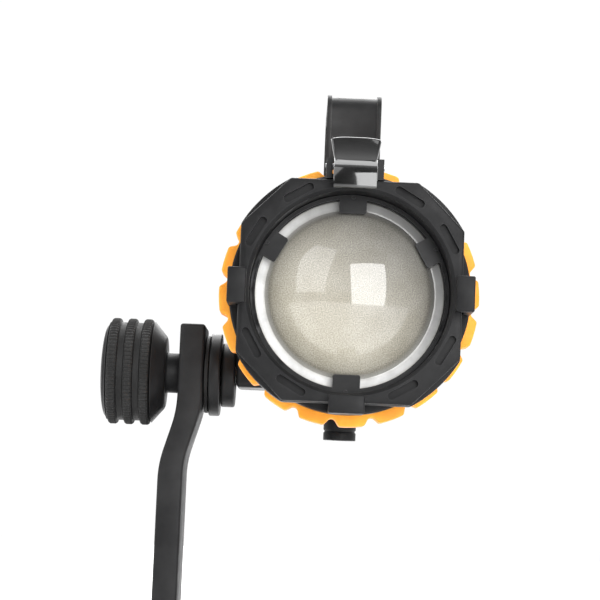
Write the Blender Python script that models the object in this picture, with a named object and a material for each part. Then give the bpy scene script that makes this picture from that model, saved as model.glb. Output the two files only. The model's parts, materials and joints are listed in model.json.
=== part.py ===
"""Small focusing spotlight on a one-sided yoke arm. Metres, +Z up, the lamp faces -Y.

The origin is the lower face of the stand socket, on the socket's axis. Pieces of the head are
drawn in the head's own frame: x to the right, y back from the rim plane, z up from the lamp axis.
"""

import math

import bmesh
import bpy
from mathutils import Matrix, Vector

# Clearances
GAP = 0.0003  # between pieces that rest on each other
PIN_FIT = 0.0001  # round a pin or a screw in its hole
OVERRUN = 0.0010  # cutters past the faces that they open
WALL_BITE = 0.6  # share of a wall that a screw enters
SLEEVE_CLEAR = 0.0004  # round the rotating cam sleeve
CAM_CLEAR = 0.0003  # each side of a cam pin in its slot

# Front ring and lens
LENS_VIEW_RADIUS = 0.0335
LENS_EDGE = 0.0013  # lens hidden behind the lip
LENS_DOME_INSET = 0.0046  # flat edge of the lens, outside its dome
LENS_DOME_HEIGHT = 0.0130
DOME_RINGS = 6
LENS_EDGE_THICKNESS = 0.0025
LIP_WIDTH = 0.0019  # ledge that carries the retainer
LIP_DEPTH = 0.0126
LIP_THICKNESS = 0.0020
RIM_BEVEL = 0.0012
RING_BAND = 0.0037  # recess to the flats
RING_DEPTH = 0.0130
RING_STEP = 0.0035  # depth of the set-back diagonals' front step
VERTEX_ANGLE = 30
NOSE_INSET = 0.0003
COLLAR_RISE = 0.0006  # collar outside the middle of flats and vertices
NECK_WALL = 0.0054
NECK_DEPTH = 0.0057
GRIP_SLOT_LENGTH = 0.0115
GRIP_SLOT_WIDTH = 0.0026
GRIP_SLOT_DEPTH = 0.0018
GRIP_SLOT_INSET = 0.0003  # slot's middle inside the flats
GASKET_THICKNESS = 0.0010
GASKET_WIDTH = 0.0034

# Lens retainer
RETAINER_THICKNESS = 0.0012
TAB_WIDTH = 0.0097
TAB_REACH = 0.0049
TAB_ANGLES = (30, 90, 150, 270)
RETAINER_SCREW_RADIUS = 0.0004
RETAINER_HEAD_RADIUS = 0.0008
RETAINER_HEAD_HEIGHT = 0.0006

# Accessory claws and latch
CLAW_WIDTH = 0.0125
CLAW_WRAP = 0.0033
CLAW_HOOK = 0.0029
CLAW_REACH = 0.0065
CLAW_BACK = 0.0100
PLATE_SLOT = 0.0030
CLAW_ROUND = 0.0009
CLAW_SLOT_SHARE = 0.3  # how far the plate's slot goes under the hook
LATCH_WIDTH = 0.0152
LATCH_LIP_LOW = 0.0039  # lip's lower edge, below the top flat
LATCH_TAB_RISE = 0.0150
LATCH_TAB_WIDTH = 0.0176
LATCH_LIP_THICKNESS = 0.0033
LATCH_PIVOT_DEPTH = 0.0062
LATCH_PIVOT_RISE = 0.0049
LATCH_HUB_RADIUS = 0.0024
LATCH_HUB_SWEEP = 100
LATCH_WEB_OVERLAP = 0.0004
LATCH_WEB_REACH = 0.0060
LATCH_NOSE_SETBACK = 0.0010
LATCH_NOSE_DROP = 0.0012
LATCH_TAB_FOOT = 0.4  # foot of the tab, in hub radii above the pin
LATCH_TAB_NARROW = 0.46
LATCH_TAB_CROWN = 0.25
LATCH_TAB_CORNER = 0.0008
LATCH_TAB_THICKNESS = 0.0024
LATCH_TAB_SETBACK = 0.0002
LATCH_PIN_RADIUS = 0.0010
LATCH_NOTCH = 0.0064
LATCH_NOTCH_DEPTH = 0.0020
CHEEK_THICKNESS = 0.0022
BRACKET_PLATE = 0.0016
BRACKET_FRONT = 0.0015
SPRING_WIRE = 0.00035
SPRING_TURNS = 3

# Focus ring
LENS_LEDGE = 0.0039  # guide tube's bore inside the lens view
GUIDE_WALL = 0.0026
GUIDE_FLANGE = 0.0023
SLEEVE_WALL = 0.0023
HOUSING_WALL = 0.0023
HUB_RISE = 0.0033
HUB_LENGTH = 0.0108
GRIP_WALL = 0.0027
LUG_RISE = 0.0026
LUG_COUNT = 20
LUG_PHASE = 3.4
GRIP_LENGTH = 0.0132
GRIP_OVERHANG = 0.0012
LUG_FOOT = 0.42  # half width of a lug, in pitches
LUG_TOP = 0.30
FOCUS_TURN = 120
FOCUS_TRAVEL = 0.0220
SLEEVE_LENGTH = 0.0480
CAM_PIN_RADIUS = 0.0015
CAM_PIN_SEAT = 0.0047  # length of a cam pin inside the heat sink
CAM_STEPS = 10
SLOT_CUT_DEPTH = 0.0040
SLOT_END = 0.98  # roundness of the guide slots' ends

# Light source
CARRIAGE_DEPTH = 0.0640
CARRIAGE_BASE = 0.0044
FIN_LENGTH = 0.0200
FIN_COUNT = 7
FIN_THICKNESS = 0.0016
FIN_SPREAD = 0.84  # shares of the base's radius
FIN_HEIGHT = 0.94
BOARD_SIZE = 0.0220
BOARD_THICKNESS = 0.0014
BOARD_CORNER = 0.12
EMITTER_SIZE = 0.0120
EMITTER_THICKNESS = 0.0012
EMITTER_CORNER = 0.08
HOLDER_LENGTH = 0.0120
HOLDER_WALL = 0.0020
COLLIMATOR_RADIUS = 0.0145
COLLIMATOR_EDGE = 0.0020
COLLIMATOR_RISE = 0.0050
COLLIMATOR_RINGS = 4
HOLDER_LEDGE = 0.0010
HOLDER_LEDGE_THICKNESS = 0.0015

# Housings
HOUSING_LENGTH = 0.0650
REAR_LENGTH = 0.0300
REAR_FIN_COUNT = 3
REAR_FIN_DEPTH = 0.0036
REAR_FIN_PITCH = 0.0064
REAR_SEAT = 0.0030
REAR_SHOULDER = 0.0010
COVER_THICKNESS = 0.0045
COVER_DISH = 0.0025
COVER_INSET = 0.0012
COVER_EDGE = 0.0012
COVER_RIM = 1.8  # rim outside the dish, in screw insets
VENT_LENGTH = 0.50  # shares of the dish's radius
VENT_MIDDLE = 0.58
VENT_COUNT = 8
VENT_WIDTH = 0.0026
REAR_SCREW_INSET = 0.0045
REAR_SCREW_BITE = 0.0060
SCREW_RADIUS = 0.0015
SCREW_HEAD_RADIUS = 0.0027
SCREW_HEAD_HEIGHT = 0.0018

# Handle
HANDLE_WIDTH = 0.0204
HANDLE_RISE = 0.0407
HANDLE_FRONT = 0.0500
HANDLE_REAR = 0.0020  # rear foot behind the rear housing's front
HANDLE_STRAP = 0.0022
HANDLE_FLANGE = 0.0016
HANDLE_FLANGE_RISE = 0.0016
HANDLE_FOOT = 0.0120
HANDLE_BEND = 0.0070
PAD_RISE = 0.0014
PAD_MARGIN = 0.0010
PAD_SCREW_BITE = 0.8
PAD_ROOT = 0.8  # share of the bore's radius where the pads start
FLANGE_STEP = 0.0002  # keeps the flanges' inner faces off the web's
FOOT_SCREW_SHIFT = 0.0015

# Power inlet
INLET_DEPTH = 0.0900
INLET_RADIUS = 0.00635
INLET_BORE = 0.0044
INLET_NECK = 0.0050
INLET_DROP = 0.0123
INLET_RECESS = 0.0060
INLET_PIN_RADIUS = 0.0006
INLET_PIN_SPACING = 0.0036
INLET_PIN_SETBACK = 0.0012
INLET_PIN_SEAT = 0.0040
INLET_EDGE = 0.0005

# Tilt joint
TILT_DEPTH = 0.0600
TILT_DROP = 0.0280
BRACKET_STANDOFF = 0.0026
BRACKET_LENGTH = 0.0240
BRACKET_BELOW = 0.0048
BRACKET_ABOVE = 0.0120
BRACKET_SCREW_SPACING = 0.0170
BRACKET_SCREW_SHIFT = 0.0030
BRACKET_SCREW_HEAD = 0.0016
BRACKET_SCREW_SCALE = 0.8  # against the other screws
BRACKET_FOOT = 0.92  # foot's edge, as a share of the barrel at that height
BRACKET_CHAMFER = 0.0040
BRACKET_RIGHT_RISE = 0.0200
BRACKET_SEAT_SPARE = 0.0100
HEAD_DISC_THICKNESS = 0.0052
HEAD_DISC_RADIUS = 0.0120
ARM_DISC_THICKNESS = 0.0041
ARM_DISC_RADIUS = 0.0155
WASHER_THICKNESS = 0.0014
WASHER_RADIUS = 0.0145
BOLT_RADIUS = 0.0030
BOLT_ENGAGE = 0.0060

# Yoke arm and stand socket
ARM_THICKNESS = 0.0093
ARM_WIDTH = 0.0280
ARM_TOP = 0.0180
ARM_CORNER = 0.0014
BEND_START = 0.0130
BEND_END = 0.0330
BEND_SHIFT = 0.0059
FOOT_BEND = 0.0100
FOOT_REACH = 0.0170
SWING_DROP = 0.1000  # tilt axis above the foot
SOCKET_HEIGHT = 0.0410
SOCKET_RADIUS = 0.0150
SOCKET_EDGE = 0.0010
SPIGOT_RADIUS = 0.0081
SPIGOT_DEPTH = 0.0350
SOCKET_BOLT_RADIUS = 0.0030
SOCKET_BOLT_HEAD = 0.0054
SOCKET_BOLT_HEAD_HEIGHT = 0.0040
SOCKET_BOLT_BITE = 0.9
LOCK_HEIGHT = 0.0180
LOCK_SCREW_RADIUS = 0.0030
LOCK_KNOB_RADIUS = 0.0110
LOCK_LOBES = 6
LOCK_LOBE_DEPTH = 0.07
LOCK_EDGE = 0.0012
LOCK_SCREW_SEAT = 0.6  # share of the knob that the screw enters
LOCK_KNOB_LENGTH = 0.0140
LOCK_STANDOFF = 0.0040

# Tilt knob
KNOB_COLLAR_RADIUS = 0.0075
KNOB_COLLAR_LENGTH = 0.0050
KNOB_LENGTH = 0.0242
KNOB_RADIUS = 0.0199
KNOB_NOSE_RADIUS = 0.0135
KNOB_CONE_LENGTH = 0.0052
KNOB_GRIP_LENGTH = 0.0160
KNOB_GRIP_WALL = 0.0032
KNOB_GROOVE = 0.0013
KNOB_RIB_COUNT = 3
KNOB_DOME = 0.0020
KNOB_BOLT_SEAT = 0.55  # share of the knob that the bolt enters
KNOB_END_RADIUS = 0.90  # shares of the knob's radius
KNOB_SHOULDER_RADIUS = 0.95
KNOB_DOME_PROFILE = ((0.2, 0.45), (1.0, 0.82))  # shares of the dome's rise and the knob's radius
RIB_SLOPE = 0.4  # share of a groove taken by a rib's slope

# Values worked out from the sizes above
recess_radius = LENS_VIEW_RADIUS + LIP_WIDTH
lens_radius = LENS_VIEW_RADIUS + LENS_EDGE
counterbore = lens_radius + GAP
ring_flat = recess_radius + RING_BAND
vertex_radius = ring_flat / math.cos(math.radians(VERTEX_ANGLE))
collar_radius = (ring_flat + vertex_radius) / 2 + COLLAR_RISE
collar_front = CLAW_BACK + GAP
neck_radius = counterbore + NECK_WALL
ring_length = RING_DEPTH + NECK_DEPTH
lens_front = LIP_DEPTH + LIP_THICKNESS + GAP
lens_back = lens_front + LENS_EDGE_THICKNESS
gasket_front = lens_back + GAP
flange_front = ring_length + GAP
flange_back = flange_front + GUIDE_FLANGE
guide_bore = LENS_VIEW_RADIUS - LENS_LEDGE
guide_radius = guide_bore + GUIDE_WALL
sleeve_bore = guide_radius + SLEEVE_CLEAR
sleeve_radius = sleeve_bore + SLEEVE_WALL
housing_bore = sleeve_radius + SLEEVE_CLEAR
housing_radius = housing_bore + HOUSING_WALL
hub_radius = max(housing_radius, neck_radius - HUB_RISE) + HUB_RISE
hub_front = flange_back + GAP
hub_back = hub_front + HUB_LENGTH
grip_bore = hub_radius + GAP
grip_root = grip_bore + GRIP_WALL
lug_radius = grip_root + LUG_RISE
housing_front = hub_back + GAP
housing_back = housing_front + HOUSING_LENGTH
rear_front = housing_back + GAP
rear_back = rear_front + REAR_LENGTH
cover_front = rear_back + GAP
handle_back = rear_front + HANDLE_REAR + HANDLE_FOOT
front_foot = HANDLE_FRONT + HANDLE_FOOT / 2
rear_foot = handle_back - HANDLE_FOOT / 2
pin_depth = CARRIAGE_DEPTH + CARRIAGE_BASE / 2
carriage_radius = guide_bore - SLEEVE_CLEAR
pin_reach = sleeve_radius - GAP
latch_pivot = (0.0, LATCH_PIVOT_DEPTH, ring_flat + GAP + LATCH_PIVOT_RISE)
lamp_height = SOCKET_HEIGHT + GAP + ARM_THICKNESS + SWING_DROP + TILT_DROP
tilt_height = lamp_height - TILT_DROP
head_frame = Vector((0.0, -TILT_DEPTH, lamp_height))
head_disc_x = -(housing_radius + BRACKET_STANDOFF + GAP)
arm_disc_x = head_disc_x - HEAD_DISC_THICKNESS - GAP
washer_x = arm_disc_x - ARM_DISC_THICKNESS - GAP
arm_x = washer_x - WASHER_THICKNESS - GAP
collar_x = arm_x - ARM_THICKNESS - GAP
knob_x = collar_x - KNOB_COLLAR_LENGTH
lock_x = SOCKET_RADIUS + LOCK_STANDOFF

COLOURS = {
    "black_plastic": ((0.022, 0.022, 0.023), 0.45, 0.0),
    "gloss_black": ((0.012, 0.012, 0.012), 0.12, 0.0),
    "black_metal": ((0.030, 0.030, 0.032), 0.40, 0.6),
    "charcoal_metal": ((0.070, 0.070, 0.073), 0.45, 0.3),
    "steel": ((0.55, 0.55, 0.56), 0.30, 1.0),
    "aluminium": ((0.60, 0.60, 0.62), 0.38, 1.0),
    "orange_rubber": ((0.90, 0.35, 0.03), 0.60, 0.0),
    "black_rubber": ((0.018, 0.018, 0.018), 0.75, 0.0),
    "lens_glass": ((0.62, 0.60, 0.52), 0.08, 0.0),
    "clear_glass": ((0.80, 0.82, 0.82), 0.05, 0.0),
    "phosphor": ((0.90, 0.75, 0.15), 0.60, 0.0),
    "board": ((0.85, 0.85, 0.83), 0.45, 0.0),
    "insulator": ((0.75, 0.73, 0.68), 0.50, 0.0),
    "brass": ((0.70, 0.50, 0.20), 0.30, 1.0),
}


def clear_scene():
    for old in list(bpy.data.objects):
        bpy.data.objects.remove(old, do_unlink=True)


def finish(name, colour):
    """A material of this object's own, in one of the finishes above."""
    rgb, roughness, metallic = COLOURS[colour]
    made = bpy.data.materials.new(name + "_" + colour)
    made.use_nodes = True
    shader = made.node_tree.nodes["Principled BSDF"]
    shader.inputs["Base Color"].default_value = (*rgb, 1.0)
    shader.inputs["Roughness"].default_value = roughness
    shader.inputs["Metallic"].default_value = metallic
    return made


def new_object(name, bm, colour=None, smooth=35):
    """Turns a bmesh into an object. Without a colour it is a cutter."""
    bmesh.ops.recalc_face_normals(bm, faces=bm.faces)
    if bm.calc_volume(signed=True) < 0:
        bmesh.ops.reverse_faces(bm, faces=bm.faces)
    mesh = bpy.data.meshes.new(name)
    bm.to_mesh(mesh)
    bm.free()
    obj = bpy.data.objects.new(name, mesh)
    bpy.context.scene.collection.objects.link(obj)
    if colour is None:
        obj.hide_render = True
        obj.display_type = "WIRE"
        return obj
    mesh.materials.append(finish(name, colour))
    mesh.shade_smooth()
    mesh.set_sharp_from_angle(angle=math.radians(smooth))
    return obj


def lifted(axis, across, along):
    """A flat point (across) at a distance along the axis, as a point in space."""
    return {
        "X": Vector((along, across[0], across[1])),
        "Y": Vector((across[0], along, across[1])),
        "Z": Vector((across[0], across[1], along)),
    }[axis]


def add_turned(bm, axis, profile, steps, centre=(0.0, 0.0)):
    """Spins a closed profile of (along, radius) points about an axis through centre."""
    middle = lifted(axis, centre, 0.0)
    points = [middle + lifted(axis, (radius, 0.0), along) for along, radius in profile]
    verts = [bm.verts.new(point) for point in points]
    pairs = list(zip(verts, verts[1:] + verts[:1]))
    radii = [radius for _, radius in profile]
    edges = []
    for index, pair in enumerate(pairs):
        if radii[index] > 0 or radii[(index + 1) % len(radii)] > 0:
            edges.append(bm.edges.new(pair))
    direction = lifted(axis, (0.0, 0.0), 1.0)
    bmesh.ops.spin(
        bm, geom=verts + edges, cent=middle, axis=direction, angle=math.tau, steps=steps, use_merge=True
    )
    bmesh.ops.remove_doubles(bm, verts=bm.verts, dist=1e-6)


def turned(name, axis, profile, colour=None, steps=48, centre=(0.0, 0.0)):
    bm = bmesh.new()
    add_turned(bm, axis, profile, steps, centre)
    return new_object(name, bm, colour)


def add_bore(bm, axis, centre, radius, low, high, steps):
    """A plain cylinder between two distances along the axis."""
    add_turned(bm, axis, [(low, 0.0), (low, radius), (high, radius), (high, 0.0)], steps, centre)


def rod(name, axis, centre, radius, low, high, colour, steps):
    bm = bmesh.new()
    add_bore(bm, axis, centre, radius, low, high, steps)
    return new_object(name, bm, colour)


def add_prism(bm, axis, outline, low, high):
    verts = [bm.verts.new(lifted(axis, point, low)) for point in outline]
    face = bm.faces.new(verts)
    grown = bmesh.ops.extrude_face_region(bm, geom=[face])
    moved = [item for item in grown["geom"] if isinstance(item, bmesh.types.BMVert)]
    bmesh.ops.translate(bm, verts=moved, vec=lifted(axis, (0.0, 0.0), high - low))


def prism(name, axis, outline, low, high, colour=None):
    bm = bmesh.new()
    add_prism(bm, axis, outline, low, high)
    return new_object(name, bm, colour)


def box_outline(low, high):
    return [(low[0], low[1]), (high[0], low[1]), (high[0], high[1]), (low[0], high[1])]


def box(name, low, high, colour=None):
    return prism(name, "Z", box_outline(low, high), low[2], high[2], colour)


def arc(centre, radius, start, end, steps):
    """Points on an arc, by angles in degrees."""
    points = []
    for step in range(steps + 1):
        angle = math.radians(start + (end - start) * step / steps)
        points.append((centre[0] + radius * math.cos(angle), centre[1] + radius * math.sin(angle)))
    return points


def rounded_outline(width, height, radius, steps=4, centre=(0.0, 0.0)):
    """A rectangle with round corners, about its centre."""
    half_w = width / 2 - radius
    half_h = height / 2 - radius
    points = []
    for corner, (side_x, side_y) in enumerate(((1, 1), (-1, 1), (-1, -1), (1, -1))):
        middle = (centre[0] + side_x * half_w, centre[1] + side_y * half_h)
        points += arc(middle, radius, 90 * corner, 90 * corner + 90, steps)
    return points


def boolean(obj, other, operation):
    modifier = obj.modifiers.new(operation.lower() + "_" + other.name, "BOOLEAN")
    modifier.operation = operation
    modifier.object = other
    return obj


def cut(obj, *cutters):
    for cutter in cutters:
        boolean(obj, cutter, "DIFFERENCE")
    return obj


def bevelled(obj, width, segments=2, limit=40):
    modifier = obj.modifiers.new("edge_bevel", "BEVEL")
    modifier.width = width
    modifier.segments = segments
    modifier.limit_method = "ANGLE"
    modifier.angle_limit = math.radians(limit)
    modifier.use_clamp_overlap = True
    return obj


def drill(name, axis, centre, radius, low, high, steps=16):
    return rod(name, axis, centre, radius, low, high, None, steps)


def empty(name, point):
    made = bpy.data.objects.new(name, None)
    made.empty_display_size = 0.01
    made.location = point
    bpy.context.scene.collection.objects.link(made)
    return made


def with_cutters(obj):
    """The object and every object that its booleans use, however deep."""
    found = [obj]
    for modifier in obj.modifiers:
        if modifier.type == "BOOLEAN":
            found += with_cutters(modifier.object)
    return found


def ride(parent, origin, *pieces):
    """Hangs pieces drawn about origin on a joint's empty, without moving them."""
    for piece in pieces:
        for item in with_cutters(piece):
            if item.parent is None:
                item.parent = parent
                item.location = Vector(origin) - parent.location


def screw(name, along, radius, head_radius, head_height, length, colour="steel"):
    """A cap screw about +Z: its head above z = 0, its shank below."""
    profile = [(head_height, 0.0), (head_height, head_radius), (0.0, head_radius)]
    profile += [(0.0, radius), (-length, radius), (-length, 0.0)]
    bm = bmesh.new()
    add_turned(bm, "Z", profile, 12)
    turn = Vector((0.0, 0.0, 1.0)).rotation_difference(Vector(along)).to_matrix().to_4x4()
    bm.transform(turn)
    made = new_object(name, bm, colour)
    hex_bm = bmesh.new()
    hexagon = [(p[0], p[1]) for p in arc((0.0, 0.0), head_radius * 0.5, 0, 300, 5)]
    add_prism(hex_bm, "Z", hexagon, head_height * 0.35, head_height * 1.5)
    hex_bm.transform(turn)
    return cut(made, new_object(name + "_hex", hex_bm))


def moved_mesh(obj, offset):
    """Moves a piece and its cutters in their own meshes."""
    for item in with_cutters(obj):
        item.data.transform(Matrix.Translation(offset))
    return obj


def polar(radius, degrees):
    return (radius * math.cos(math.radians(degrees)), radius * math.sin(math.radians(degrees)))


def rotated_outline(outline, degrees):
    turn = Matrix.Rotation(math.radians(degrees), 2)
    return [tuple(turn @ Vector(point)) for point in outline]


def ring_outline(radius, steps):
    """Four flats that end in vertices. The diagonals between them are arcs, or chords with one step."""
    points = []
    for quarter in range(4):
        start = 90 * quarter + VERTEX_ANGLE
        points += arc((0.0, 0.0), radius, start, start + 90 - 2 * VERTEX_ANGLE, steps)
    return points


def front_ring():
    """Octagonal nose, round-backed diagonals behind it, and a round collar behind the claws."""
    outside = vertex_radius + OVERRUN
    profile = [
        (0.0, recess_radius + RIM_BEVEL),
        (RIM_BEVEL, recess_radius),
        (LIP_DEPTH, recess_radius),
        (LIP_DEPTH, LENS_VIEW_RADIUS),
        (LIP_DEPTH + LIP_THICKNESS, LENS_VIEW_RADIUS),
        (LIP_DEPTH + LIP_THICKNESS, counterbore),
        (ring_length, counterbore),
        (ring_length, outside),
        (0.0, outside),
    ]
    ring = turned("front_ring", "Y", profile, "black_plastic", 48)
    outline = prism("ring_outline", "Y", ring_outline(vertex_radius, 7), RING_STEP, RING_DEPTH)
    nose_outline = ring_outline(vertex_radius - NOSE_INSET, 1)
    nose = prism("ring_nose", "Y", nose_outline, -OVERRUN, RING_STEP + OVERRUN)
    back = ring_length + OVERRUN
    collar_profile = [(collar_front, 0.0), (collar_front, collar_radius), (back, collar_radius), (back, 0.0)]
    collar = turned("ring_collar", "Y", collar_profile, steps=44)
    boolean(outline, nose, "UNION")
    boolean(outline, collar, "UNION")
    boolean(ring, outline, "INTERSECT")
    slots = bmesh.new()
    slot_outline = rounded_outline(
        GRIP_SLOT_WIDTH, GRIP_SLOT_LENGTH, GRIP_SLOT_WIDTH / 2.2, 2, (ring_flat - GRIP_SLOT_INSET, 0.0)
    )
    for quarter in range(4):
        for vertex in (VERTEX_ANGLE, 90 - VERTEX_ANGLE):
            turned_outline = rotated_outline(slot_outline, 90 * quarter + vertex)
            add_prism(slots, "Y", turned_outline, -OVERRUN, GRIP_SLOT_DEPTH)
    return cut(ring, new_object("ring_slots", slots))


def claw(name, degrees):
    """Wraps the ring's flat and hooks over a plate in front of it."""
    inner = ring_flat + GAP
    outer = inner + CLAW_WRAP
    hook = ring_flat - CLAW_HOOK
    slot = ring_flat - CLAW_HOOK * CLAW_SLOT_SHARE
    side = [
        (inner, CLAW_BACK),
        (outer, CLAW_BACK),
        (outer, -CLAW_REACH),
        (hook, -CLAW_REACH),
        (hook, -GAP - PLATE_SLOT),
        (slot, -GAP - PLATE_SLOT),
        (slot, -GAP),
        (inner, -GAP),
    ]
    bm = bmesh.new()
    add_prism(bm, "Z", side, -CLAW_WIDTH / 2, CLAW_WIDTH / 2)
    bm.transform(Matrix.Rotation(math.radians(-degrees), 4, "Y"))
    return bevelled(new_object(name, bm, "black_plastic"), CLAW_ROUND, 1)


def lens():
    dome_radius = lens_radius - LENS_DOME_INSET
    ball = (dome_radius**2 + LENS_DOME_HEIGHT**2) / (2 * LENS_DOME_HEIGHT)
    top = lens_front - LENS_DOME_HEIGHT
    spread = math.asin(dome_radius / ball)
    profile = [(lens_back, 0.0), (lens_back, lens_radius), (lens_front, lens_radius)]
    for step in range(DOME_RINGS, -1, -1):
        angle = spread * step / DOME_RINGS
        profile.append((top + ball * (1 - math.cos(angle)), ball * math.sin(angle)))
    profile[-1] = (top, 0.0)
    return turned("lens", "Y", profile, "lens_glass", 40)


def lens_gasket():
    profile = [
        (gasket_front, lens_radius - GASKET_WIDTH),
        (gasket_front, lens_radius),
        (gasket_front + GASKET_THICKNESS, lens_radius),
        (gasket_front + GASKET_THICKNESS, lens_radius - GASKET_WIDTH),
    ]
    return turned("lens_gasket", "Y", profile, "black_rubber", 28)


def lens_retainer():
    """A flat ring on the lip, with tabs over the lens edge, and its screws."""
    back = LIP_DEPTH - GAP
    front = back - RETAINER_THICKNESS
    inner = LENS_VIEW_RADIUS + GAP
    outer = recess_radius - GAP
    profile = [(front, inner), (front, outer), (back, outer), (back, inner)]
    ring = turned("lens_retainer", "Y", profile, "black_metal", 36)
    tabs = bmesh.new()
    tab_outline = box_outline((LENS_VIEW_RADIUS - TAB_REACH, -TAB_WIDTH / 2), (outer - GAP, TAB_WIDTH / 2))
    for degrees in TAB_ANGLES:
        add_prism(tabs, "Y", rotated_outline(tab_outline, degrees), front, back)
    boolean(ring, new_object("retainer_tabs", tabs), "UNION")
    screw_circle = (inner + outer) / 2
    screws = []
    holes = bmesh.new()
    for number, degrees in enumerate(TAB_ANGLES, 1):
        name = "retainer_screw_" + str(number)
        spot = polar(screw_circle, degrees)
        length = RETAINER_THICKNESS + LIP_THICKNESS * WALL_BITE + GAP
        head = (RETAINER_HEAD_RADIUS, RETAINER_HEAD_HEIGHT)
        made = screw(name, (0, -1, 0), RETAINER_SCREW_RADIUS, *head, length, "black_metal")
        screws.append(moved_mesh(made, Vector((spot[0], front - PIN_FIT, spot[1]))))
        hole = RETAINER_SCREW_RADIUS + PIN_FIT
        reach = front + length + GAP
        add_bore(holes, "Y", spot, hole, front - OVERRUN, reach, 8)
    cutter = new_object("retainer_holes", holes)
    return [cut(ring, cutter)] + screws, cutter


def latch_bracket():
    """A plate on the ring's top flat with two cheeks that hold the pin."""
    low = ring_flat + GAP
    inner = LATCH_WIDTH / 2 + GAP
    outer = inner + CHEEK_THICKNESS
    cheek_top = latch_pivot[2] + LATCH_HUB_RADIUS
    outline = [
        (-outer, low),
        (outer, low),
        (outer, cheek_top),
        (inner, cheek_top),
        (inner, low + BRACKET_PLATE),
        (-inner, low + BRACKET_PLATE),
        (-inner, cheek_top),
        (-outer, cheek_top),
    ]
    made = prism("latch_bracket", "Y", outline, BRACKET_FRONT, collar_front - GAP, "black_metal")
    reach = outer + OVERRUN
    hole = drill("bracket_hole", "X", latch_pivot[1:], LATCH_PIN_RADIUS + PIN_FIT, -reach, reach)
    return cut(made, hole)


def latch_lever():
    """Lip, web and hub in one profile (depth, height), and a wider thumb tab."""
    depth, rise = latch_pivot[1:]
    low = ring_flat - LATCH_LIP_LOW
    web_low = ring_flat + GAP + BRACKET_PLATE + GAP
    lip_front = -CLAW_REACH
    lip_back = lip_front + LATCH_LIP_THICKNESS
    hub = arc((depth, rise), LATCH_HUB_RADIUS, -LATCH_HUB_SWEEP, LATCH_HUB_SWEEP, 8)
    tab_top = ring_flat + LATCH_TAB_RISE
    profile = [(lip_front, low), (lip_back, low), (lip_back, web_low + LATCH_WEB_OVERLAP)]
    profile += hub
    profile += [(lip_back + LATCH_WEB_REACH, rise + LATCH_HUB_RADIUS)]
    profile += [(lip_front + LATCH_NOSE_SETBACK, rise), (lip_front, rise - LATCH_NOSE_DROP)]
    made = prism("latch_lever", "X", profile, -LATCH_WIDTH / 2, LATCH_WIDTH / 2, "gloss_black")
    tab_low = rise + LATCH_HUB_RADIUS * LATCH_TAB_FOOT
    tab_outline = [
        (-LATCH_WIDTH * LATCH_TAB_NARROW, tab_low),
        (LATCH_WIDTH * LATCH_TAB_NARROW, tab_low),
        (LATCH_TAB_WIDTH / 2, tab_top - LATCH_TAB_CORNER),
        (LATCH_TAB_WIDTH * LATCH_TAB_CROWN, tab_top),
        (-LATCH_TAB_WIDTH * LATCH_TAB_CROWN, tab_top),
        (-LATCH_TAB_WIDTH / 2, tab_top - LATCH_TAB_CORNER),
    ]
    tab_front = lip_back + LATCH_TAB_SETBACK
    tab = prism("latch_tab", "Y", tab_outline, tab_front, tab_front + LATCH_TAB_THICKNESS)
    boolean(made, tab, "UNION")
    notch = box(
        "latch_notch",
        (-LATCH_NOTCH / 2, depth - LATCH_HUB_RADIUS - LATCH_WEB_OVERLAP, web_low - LATCH_NOTCH_DEPTH),
        (LATCH_NOTCH / 2, depth + LATCH_HUB_RADIUS * 2, rise + LATCH_HUB_RADIUS * 2),
    )
    hole = drill("lever_hole", "X", (depth, rise), LATCH_PIN_RADIUS + PIN_FIT, -LATCH_WIDTH, LATCH_WIDTH)
    return cut(made, notch, hole)


def latch_pin():
    reach = LATCH_WIDTH / 2 + CHEEK_THICKNESS + GAP * 2
    return rod("latch_pin", "X", latch_pivot[1:], LATCH_PIN_RADIUS, -reach, reach, "steel", 16)


def latch_spring():
    """A torsion coil round the pin, in the lever's notch."""
    coil = LATCH_PIN_RADIUS + SPRING_WIRE + GAP
    half = LATCH_NOTCH / 2 - SPRING_WIRE * 2 - GAP
    steps = SPRING_TURNS * 9
    points = []
    for step in range(steps + 1):
        angle = math.tau * SPRING_TURNS * step / steps
        side = -half + 2 * half * step / steps
        depth = latch_pivot[1] + coil * math.cos(angle)
        points.append((side, depth, latch_pivot[2] + coil * math.sin(angle)))
    curve = bpy.data.curves.new("latch_spring", "CURVE")
    curve.dimensions = "3D"
    curve.bevel_depth = SPRING_WIRE
    curve.bevel_resolution = 1
    curve.use_fill_caps = True
    spline = curve.splines.new("POLY")
    spline.points.add(len(points) - 1)
    for target, point in zip(spline.points, points):
        target.co = (*point, 1.0)
    curve.materials.append(finish("latch_spring", "steel"))
    made = bpy.data.objects.new("latch_spring", curve)
    bpy.context.scene.collection.objects.link(made)
    return made


def guide_tube():
    back = rear_front + REAR_SEAT - GAP
    profile = [
        (flange_front, guide_bore),
        (flange_front, neck_radius),
        (flange_back, neck_radius),
        (flange_back, guide_radius),
        (back, guide_radius),
        (back, guide_bore),
    ]
    tube = turned("guide_tube", "Y", profile, "black_metal", 32)
    slots = bmesh.new()
    half = CAM_PIN_RADIUS + CAM_CLEAR
    middle = (pin_depth - FOCUS_TRAVEL / 2, 0.0)
    outline = rounded_outline(FOCUS_TRAVEL + half * 2, half * 2, half * SLOT_END, 4, middle)
    inside = guide_bore - SLOT_CUT_DEPTH
    outside = guide_radius + OVERRUN
    for low, high in ((inside, outside), (-outside, -inside)):
        add_prism(slots, "X", outline, low, high)
    return cut(tube, new_object("guide_slots", slots))


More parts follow.
